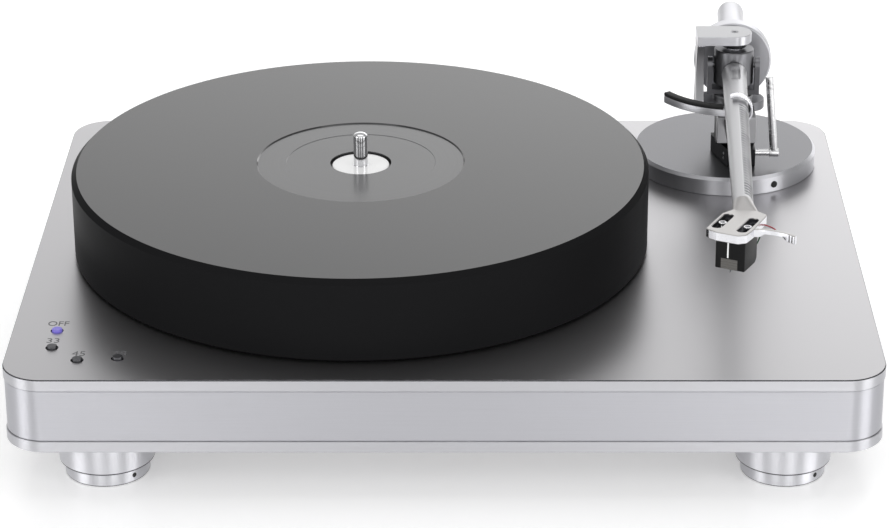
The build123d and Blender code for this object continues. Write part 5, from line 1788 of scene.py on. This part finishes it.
@dataclass
class Head(Assembly):
    """The headshell, its screws and finger lift, and the cartridge under it."""

    thick: float = 4.5
    length: float = 33.7
    width: float = 21.2
    nose: float = 3.6
    left: float = 10.3
    corner: float = 2.0
    edge: float = 0.35
    shares: tuple[tuple[float, float], ...] = (
        (1.0, 0.32), (1.0, 0.83), (0.91, 0.98), (0.71, 1.0), (0.08, 0.95),
        (0.0, 0.65), (0.04, 0.16), (0.31, 0.0), (0.92, 0.01), (0.96, 0.1),
    )
    slot_length: float = 18.8
    slot_width: float = 4.8
    ledge_depth: float = 2.3
    ledge_width: float = 2.8
    screw_back: float = 10.8
    screw_side: float = 6.35
    # The cartridge screws' heads: radius, height, key and depth
    screw_head: tuple[float, ...] = (2.05, 1.7, 1.25, 1.3)
    shank_radius: float = 1.2
    shank_foot: float = -4.3
    shank_top: float = 0.3
    neck_from: float = 206.0
    neck_to: float = 217.0
    neck_radius: float = 5.1
    neck_right: float = 1.2
    neck_half: float = 6.2
    neck_thin: float = 0.3
    # The bar's sides are cosines and sines to this power: the smaller, the squarer
    neck_power: float = 0.32
    body_nose: float = 1.2
    body_right: float = 2.6
    body_length: float = 16.0
    body_width: float = 14.8
    body_height: float = 14.6
    heel: float = 2.0
    ear_length: float = 9.0
    ear_width: float = 17.4
    ear_thick: float = 2.6
    mark_size: tuple[float, float] = (0.75, 8.0)
    mark_place: tuple[float, float] = (1.5, -4.6)
    guard_width: float = 8.2
    guard_height: float = 5.6
    guard_depth: float = 6.5
    guard_left: float = 0.3
    guard_rise: float = 0.4
    rib_proud: float = 0.15
    rib_pitch: float = 1.25
    stylus_right: float = 2.3
    stylus_above: float = 0.6
    cantilever_back: float = 4.0
    finger_from: tuple[float, float] = (-8.2, 9.4)
    finger_bend: tuple[float, float] = (-10.9, 20.4)
    finger_to: tuple[float, float] = (-8.4, 31.4)
    finger_width: float = 1.8
    finger_top: float = -0.2
    finger_height: float = 4.0
    grip_from: float = 0.8
    grip_depth: float = 0.3
    grip_pitch: float = 0.075
    waist_depth: float = 0.4
    # Where the finger lift's waist starts and ends and how softly, as shares of its length
    waist: tuple[float, float, float] = (0.12, 0.84, 0.16)
    # Edges painted with a highlight: the plate's from here forwards, the fin's right of and below here
    edge_from: float = -24.0
    fin_right: float = 12.0
    fin_below: float = -0.6

    def build(self) -> None:
        """Build and dress the head."""
        bench, finish = self.bench, self.finish
        shells = [self._plate(), self._neck(), self._finger()]
        piece = bench.stand("head_shell", Shell.joined(shells), finish.shell)
        # The upright edges are painted brighter: a painted highlight
        bench.paint(piece, finish.bright_edge_and_highlight, self._edge_faces)
        # The slots' walls and ledges are painted dark: painted shade in the recesses
        bench.paint(piece, finish.groove_shade, self._slot_shade_faces)
        self._screws()
        self._cartridge()
        self._leads()

    def _own(self, spot: np.ndarray) -> np.ndarray:
        """Take points in millimetres into the headshell's frame."""
        frame = self.at.shell
        return (spot - frame.origin) @ np.stack([frame.x, frame.y, frame.z], axis=1)

    def _slot_shade_faces(self, spot: np.ndarray) -> np.ndarray:
        """Tell the walls and ledges of the two slots, which take painted shade, from the faces' middles."""
        own = self._own(spot)
        along = np.abs(own[:, 0] + self.screw_back) < self.slot_length / 2 + 0.1
        across = np.abs(np.abs(own[:, 1]) - self.screw_side) < self.slot_width / 2 + 0.1
        return along & across & (own[:, 2] < -0.1) & (own[:, 2] > 0.2 - self.thick)

    def _edge_faces(self, spot: np.ndarray) -> np.ndarray:
        """Tell the upright faces of plate and finger lift, from top to foot, which take a painted
        highlight.
        """
        own = self._own(spot)
        beside = (own[:, 2] < -self.edge - 0.1) & (own[:, 2] > 0.2 - self.thick)
        fin = (own[:, 1] > self.fin_right) & (own[:, 2] < self.fin_below)
        return beside & (own[:, 0] > self.edge_from) | fin

    def _plate(self) -> Shell:
        """Build the plate with its two stepped slots."""
        outline = np.array(self.shares) * [self.length, self.width]
        outline = eased(outline - [self.length - self.nose, self.left], self.corner, 8)
        step, foot = -self.ledge_depth, -self.thick
        narrow = self.slot_length - self.slot_width + self.ledge_width
        upper = [(0.0, step), (0.0, -self.edge), (self.edge, 0.0)]
        lower = [(self.edge, foot), (0.0, foot + self.edge), (0.0, step - 0.002)]
        upper = slab(outline, upper, self.at.shell, self._slots(self.slot_length, self.slot_width))
        lower = slab(outline, lower, self.at.shell, self._slots(narrow, self.ledge_width))
        return Shell.joined([upper, lower])

    def _slots(self, length: float, width: float) -> list[np.ndarray]:
        """Return the outlines of the left and the right slot."""
        return [slot_outline(length, width, (-self.screw_back, side * self.screw_side)) for side in (-1, 1)]

    def _neck(self) -> Shell:
        """Build the neck, which blends a circle into a flat bar.

        At the share u of its length the section is (1-u) circle + u bar.

        Returns:
            The closed shell.
        """
        turn = np.linspace(0, 2 * math.pi, 96, endpoint=False)
        round_section = np.stack([np.cos(turn), np.sin(turn)], -1)
        square_section = np.sign(round_section) * np.abs(round_section) ** self.neck_power
        middle = np.array([self.neck_right, self.at.SHELL_ABOVE - self.thick / 2])
        bar = middle + np.array([self.neck_half, self.thick / 2 - self.neck_thin]) * square_section
        share = np.linspace(0, 1, 28)
        blend = share[:, None, None]
        section = (1 - blend) * self.neck_radius * round_section + blend * bar
        reach = self.neck_from + blend * (self.neck_to - self.neck_from)
        grid = np.concatenate([section, np.broadcast_to(reach, (len(share), len(turn), 1))], -1)
        return Shell(self.at.arm.place(grid.reshape(-1, 3)), capped_faces(len(share), len(turn)))

    def _finger(self) -> Shell:
        """Build the finger lift, a bowed fin whose tip has upright grip grooves.

        Its width is taken by 1 - depth (1 - cos(2 pi u / pitch)) / 2 over the last fifth, u being the
        share of its length past the grip's start, and its height by a waist cut from below.

        Returns:
            The closed shell.
        """
        frame = self.at.shell
        ends = np.array([self.finger_from, self.finger_to])
        middle = ends.mean(0)
        bow = np.array(self.finger_bend) - middle
        share = np.linspace(0, 1, 90)
        line = ends[0] + (ends[1] - ends[0]) * share[:, None] + bow * (4 * share * (1 - share))[:, None]
        wave = 1 - np.cos(2 * math.pi * (share - self.grip_from) / self.grip_pitch)
        wide = 1.0 - self.grip_depth * window(share, self.grip_from, 1.2, 0.01) * wave / 2
        tall = 1.0 - self.waist_depth * window(share, *self.waist)
        path = frame.place(np.c_[line, self.finger_top - self.finger_height / 2 * tall])
        section = rounded_box(self.finger_width, self.finger_height, 0.3, 3)
        return swept(path, section, up=frame.z, wide=wide, tall=tall)

    def _screws(self) -> None:
        """Build the two cartridge screws in their slots."""
        bench, finish = self.bench, self.finish
        heads = []
        for side in (-1.0, 1.0):
            spot = self.at.shell.moved(-self.screw_back, side * self.screw_side, -self.ledge_depth)
            heads.append(socket_head(spot.moved(z=0.02), *self.screw_head))
            heads.append(pin(self.shank_radius, self.shank_foot, self.shank_top, spot, 24))
        bench.stand("cartridge_screws", Shell.joined(heads), finish.chrome)

    def _cartridge(self) -> None:
        """Build the cartridge body with its ears and mark, its ribbed guard and the stylus."""
        bench, finish = self.bench, self.finish
        under = self.at.shell.moved(z=-self.thick)
        tail = self.body_nose - self.body_length
        # Side view: x along, y up, with a broken heel. The slab's z runs across the body.
        side_view = [
            (tail, -0.02), (tail, self.heel - self.body_height), (tail + self.heel, -self.body_height),
            (self.body_nose, -self.body_height), (self.body_nose, -0.02),
        ]
        half = self.body_width / 2
        across = self._sideways(under, self.body_right)
        body = slab(eased(side_view, 0.9, 4), broken(-half, half, 0.5, 0.12), across)
        outline = rounded_box(self.ear_length, self.ear_width, 1.0, 4, (-self.screw_back, 0.0))
        ears = slab(outline, [(0.0, -self.ear_thick), (0.0, -0.3), (0.3, -0.02)], under)
        bench.stand("cartridge_body", Shell.joined([body, ears]), finish.plastic)
        front = Frame(under.place([self.body_nose, 0.0, 0.0]), under.y, under.z, under.x)
        outline = rounded_box(*self.mark_size, 0.1, 2, self.mark_place)
        mark = slab(outline, [(0.0, -0.2), (0.0, 0.02)], front)
        bench.lay("cartridge_mark", mark, finish.white, "tonearm")
        self._guard(under)
        tip = self._stylus()
        LOG.info("stylus tip is at %s mm", np.round(tip, 2).tolist())

    @staticmethod
    def _sideways(under: Frame, right: float) -> Frame:
        """Return a frame so far to the right whose z runs left across the cartridge."""
        return Frame(under.place([0.0, right, 0.0]), under.x, under.z, -under.y)

    def _guard(self, under: Frame) -> None:
        """Build the stylus guard with level ribs on its front.

        The front stands out by proud times half of 1 + cos(2 pi z / pitch).

        Args:
            under: Frame on the cartridge's top face.
        """
        top, foot = -self.body_height + self.guard_height - 0.05, -self.body_height + self.guard_rise
        height = np.linspace(foot, top, 61)
        proud = self.rib_proud * (0.5 + 0.5 * np.cos(2 * math.pi * (height - foot) / self.rib_pitch))
        back = self.body_nose - self.guard_depth
        profile = np.r_[np.c_[self.body_nose + proud + 0.05, height], [(back, top), (back, foot)]]
        half = self.guard_width / 2 + 0.05
        across = self._sideways(under, self.body_right - self.guard_left)
        guard = slab(distinct(profile), [(0.0, -half), (0.0, half)], across)
        self.bench.stand("stylus_guard", guard, self.finish.guard)

    def _stylus(self) -> np.ndarray:
        """Build the cantilever and its tip.

        Returns:
            The tip's place.
        """
        foot = self.at.shell.place([0.0, self.stylus_right, 0.0])
        drop = (foot[2] - self.at.platter.origin[2] - self.stylus_above) / self.at.shell.z[2]
        tip = foot - self.at.shell.z * drop
        deep = self.thick + self.body_height - self.guard_rise
        start = self.at.shell.place([-self.cantilever_back, self.stylus_right, -deep])
        frame = Frame.facing(start, tip - start)
        length = float(np.linalg.norm(tip - start))
        rod = [(0.0, 0.0), (0.3, 0.0), (0.26, length - 0.9), (0.1, length - 0.3), (0.0, length - 0.3)]
        point = [(0.0, length - 1.0), (0.24, length - 0.6), (0.2, length - 0.35), (0.0, length - 0.05)]
        shells = [turned(rod, frame, 20), turned(point, frame, 16)]
        self.bench.stand("stylus_cantilever", Shell.joined(shells), self.finish.steel)
        return tip

    def _leads(self) -> None:
        """Build the four pins at the cartridge's heel and the thin leads from the neck to them."""
        bench, finish = self.bench, self.finish
        under = self.at.shell.moved(z=-self.thick)
        tail = self.body_nose - self.body_length
        pins, covers = [], (finish.red, finish.white, finish.blue, finish.circuit)
        for index, cover in enumerate(covers):
            right = self.body_right + (index % 2 - 0.5) * 5.0
            low = -3.4 - (index // 2) * 4.2
            spot = Frame.facing(under.place([tail + 0.4, right, low]), -under.x, under.y)
            pins.append(pin(0.6, 0.0, 2.6, spot, 16))
            start = np.array([tail - 1.8, right, low])
            bulge = 15.5 if index == 0 else 6.0 + 1.2 * index
            line = curve_through(
                [
                    start, start + np.array([-2.6, 1.2 + 0.5 * index, -0.4]),
                    np.array([tail - 5.6, bulge, -1.2 - 0.3 * index]),
                    np.array([tail - 8.0, bulge - 1.0, 0.2]),
                    np.array([tail - 10.4, 3.0 + 0.9 * index, 1.0]),
                ],
                10,
            )
            lead = swept(under.place(line), circle(0.35, 10), up=under.z)
            bench.lay(f"head_lead_{index + 1}", lead, cover, "tonearm")
        bench.lay("cartridge_pins", Shell.joined(pins), finish.gold, "tonearm")


# Studio


@dataclass(frozen=True)
class Softbox:
    """A flat light that faces a point. Place and aim are metres."""

    name: str
    place: tuple[float, float, float]
    aim: tuple[float, float, float]
    width: float
    height: float
    radiance: float
    fade_left: tuple[float, float] = (0.0, 0.0)
    fade_up: tuple[float, float] = (0.0, 0.0)

    def hang(self) -> None:
        """Add the light to the scene. Its fades give where it starts to dim and how much at its edge."""
        light = bpy.data.lights.new(self.name, "AREA")
        light.shape = "RECTANGLE"
        light.size = self.width
        light.size_y = self.height
        light.energy = self.radiance * math.pi * self.width * self.height
        if self.fade_left[1] or self.fade_up[1]:
            self._fade(light)
        lamp = bpy.data.objects.new(self.name, light)
        lamp.location = self.place
        lamp.rotation_mode = "QUATERNION"
        lamp.rotation_quaternion = (Vector(self.aim) - Vector(self.place)).to_track_quat("-Z", "Y")
        bpy.context.scene.collection.objects.link(lamp)

    def _fade(self, light: bpy.types.AreaLight) -> None:
        """Dim the light towards its left and upper edge, by its own surface coordinates.

        Args:
            light: The light.
        """
        light.use_nodes = True
        tree = light.node_tree
        tree.nodes.clear()
        surface = add(tree, "ShaderNodeNewGeometry")
        spot = add(tree, "ShaderNodeSeparateXYZ", {0: surface.outputs["Parametric"]})
        parts = []
        for axis, (start, loss) in (("X", self.fade_left), ("Y", self.fade_up)):
            span = {"Value": spot.outputs[axis], "From Min": start, "To Min": 1.0, "To Max": 1.0 - loss}
            parts.append(add(tree, "ShaderNodeMapRange", span).outputs["Result"])
        both = add(tree, "ShaderNodeMath", {0: parts[0], 1: parts[1]}, operation="MULTIPLY")
        glow = add(tree, "ShaderNodeEmission", {"Strength": both.outputs["Value"]})
        add(tree, "ShaderNodeOutputLight", {"Surface": glow.outputs["Emission"]})


@dataclass
class Studio:
    """The pale floor, the soft light and the camera."""

    floor_half: float = 6.0
    floor_colour: str = "#f2f2f2"
    world_colour: str = "#ffffff"
    world_strength: float = 0.42
    floor_glow: float = 0.33
    boxes: tuple[Softbox, ...] = (
        Softbox("back_softbox", (0.0, 2.1, 1.0), (0.0, 0.0, 0.1), 4.4, 1.5, 2.55, (0.34, 1.0), (0.0, 0.95)),
        Softbox("top_softbox", (0.0, 0.1, 2.2), (0.0, 0.0, 0.0), 2.2, 1.8, 1.0),
        Softbox("left_softbox", (-1.65, -0.95, 0.6), (0.0, 0.0, 0.05), 0.9, 1.1, 3.0),
        Softbox("right_softbox", (1.65, -0.95, 0.6), (0.0, 0.0, 0.05), 0.9, 1.1, 3.4),
        Softbox("near_left_strip", (-0.72, -2.3, 0.5), (0.0, -0.1, 0.05), 0.75, 0.9, 2.2),
        Softbox("near_right_strip", (0.70, -2.3, 0.5), (0.0, -0.1, 0.05), 0.8, 0.9, 2.6),
        Softbox("front_high_softbox", (0.3, -2.3, 1.9), (0.1, 0.0, 0.1), 1.8, 0.9, 0.9),
    )
    camera_place: tuple[float, float, float] = (0.01695, -1.50571, 0.724)
    camera_tilt: float = math.radians(65.69)
    lens: float = 127.77
    shift_x: float = -0.03993

    def build(self) -> None:
        """Build the floor, the lights and the camera."""
        self._floor()
        self._world()
        for box in self.boxes:
            box.hang()
        self._camera()

    def _floor(self) -> None:
        """Build the plain floor."""
        half = self.floor_half
        mesh = bpy.data.meshes.new("floor")
        corners = [(-half, -half, 0), (half, -half, 0), (half, half, 0), (-half, half, 0)]
        mesh.from_pydata(corners, [], [(0, 1, 2, 3)])
        paint = bpy.data.materials.new("paper_white_satin")
        paint.use_nodes = True
        tree = paint.node_tree
        tree.nodes.clear()
        where = add(tree, "ShaderNodeTexCoord").outputs["Object"]
        grain = add(tree, "ShaderNodeTexNoise", {"Vector": where, "Scale": 400.0})
        span = {"Value": grain.outputs["Fac"], "To Min": 0.26, "To Max": 0.32}
        rough = add(tree, "ShaderNodeMapRange", span)
        look = {
            "Base Color": linear(self.floor_colour), "Roughness": rough.outputs["Result"],
            "Emission Color": linear(self.floor_colour), "Emission Strength": self.floor_glow,
        }
        shader = add(tree, "ShaderNodeBsdfPrincipled", look)
        add(tree, "ShaderNodeOutputMaterial", {"Surface": shader.outputs["BSDF"]})
        mesh.materials.append(paint)
        floor = bpy.data.objects.new("floor", mesh)
        bpy.context.scene.collection.objects.link(floor)

    def _world(self) -> None:
        """Light the surroundings evenly."""
        world = bpy.data.worlds.new("studio")
        world.use_nodes = True
        shade = world.node_tree.nodes["Background"]
        shade.inputs["Color"].default_value = linear(self.world_colour)
        shade.inputs["Strength"].default_value = self.world_strength
        bpy.context.scene.world = world
        bpy.context.scene.view_settings.view_transform = "Standard"

    def _camera(self) -> None:
        """Stand the camera where the photograph was taken from."""
        data = bpy.data.cameras.new("camera")
        data.lens = self.lens
        data.sensor_width = 36.0
        data.shift_x = self.shift_x
        data.clip_end = 50.0
        camera = bpy.data.objects.new("camera", data)
        camera.location = self.camera_place
        camera.rotation_euler = (self.camera_tilt, 0.0, 0.0)
        bpy.context.scene.collection.objects.link(camera)
        bpy.context.scene.camera = camera


def main() -> None:
    """Build the classes in order."""
    logging.basicConfig(level=logging.INFO, format="%(name)s: %(message)s")
    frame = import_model()
    at = Layout()
    finish = Finishes(at)
    bench = Bench(frame)
    for assembly in (Plinth, Platter, Pillar, Lift, Tonearm, Head):
        LOG.info("building %s", assembly.__name__)
        assembly(at, bench, finish).build()
    Studio().build()
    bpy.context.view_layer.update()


if __name__ == "__main__":
    main()
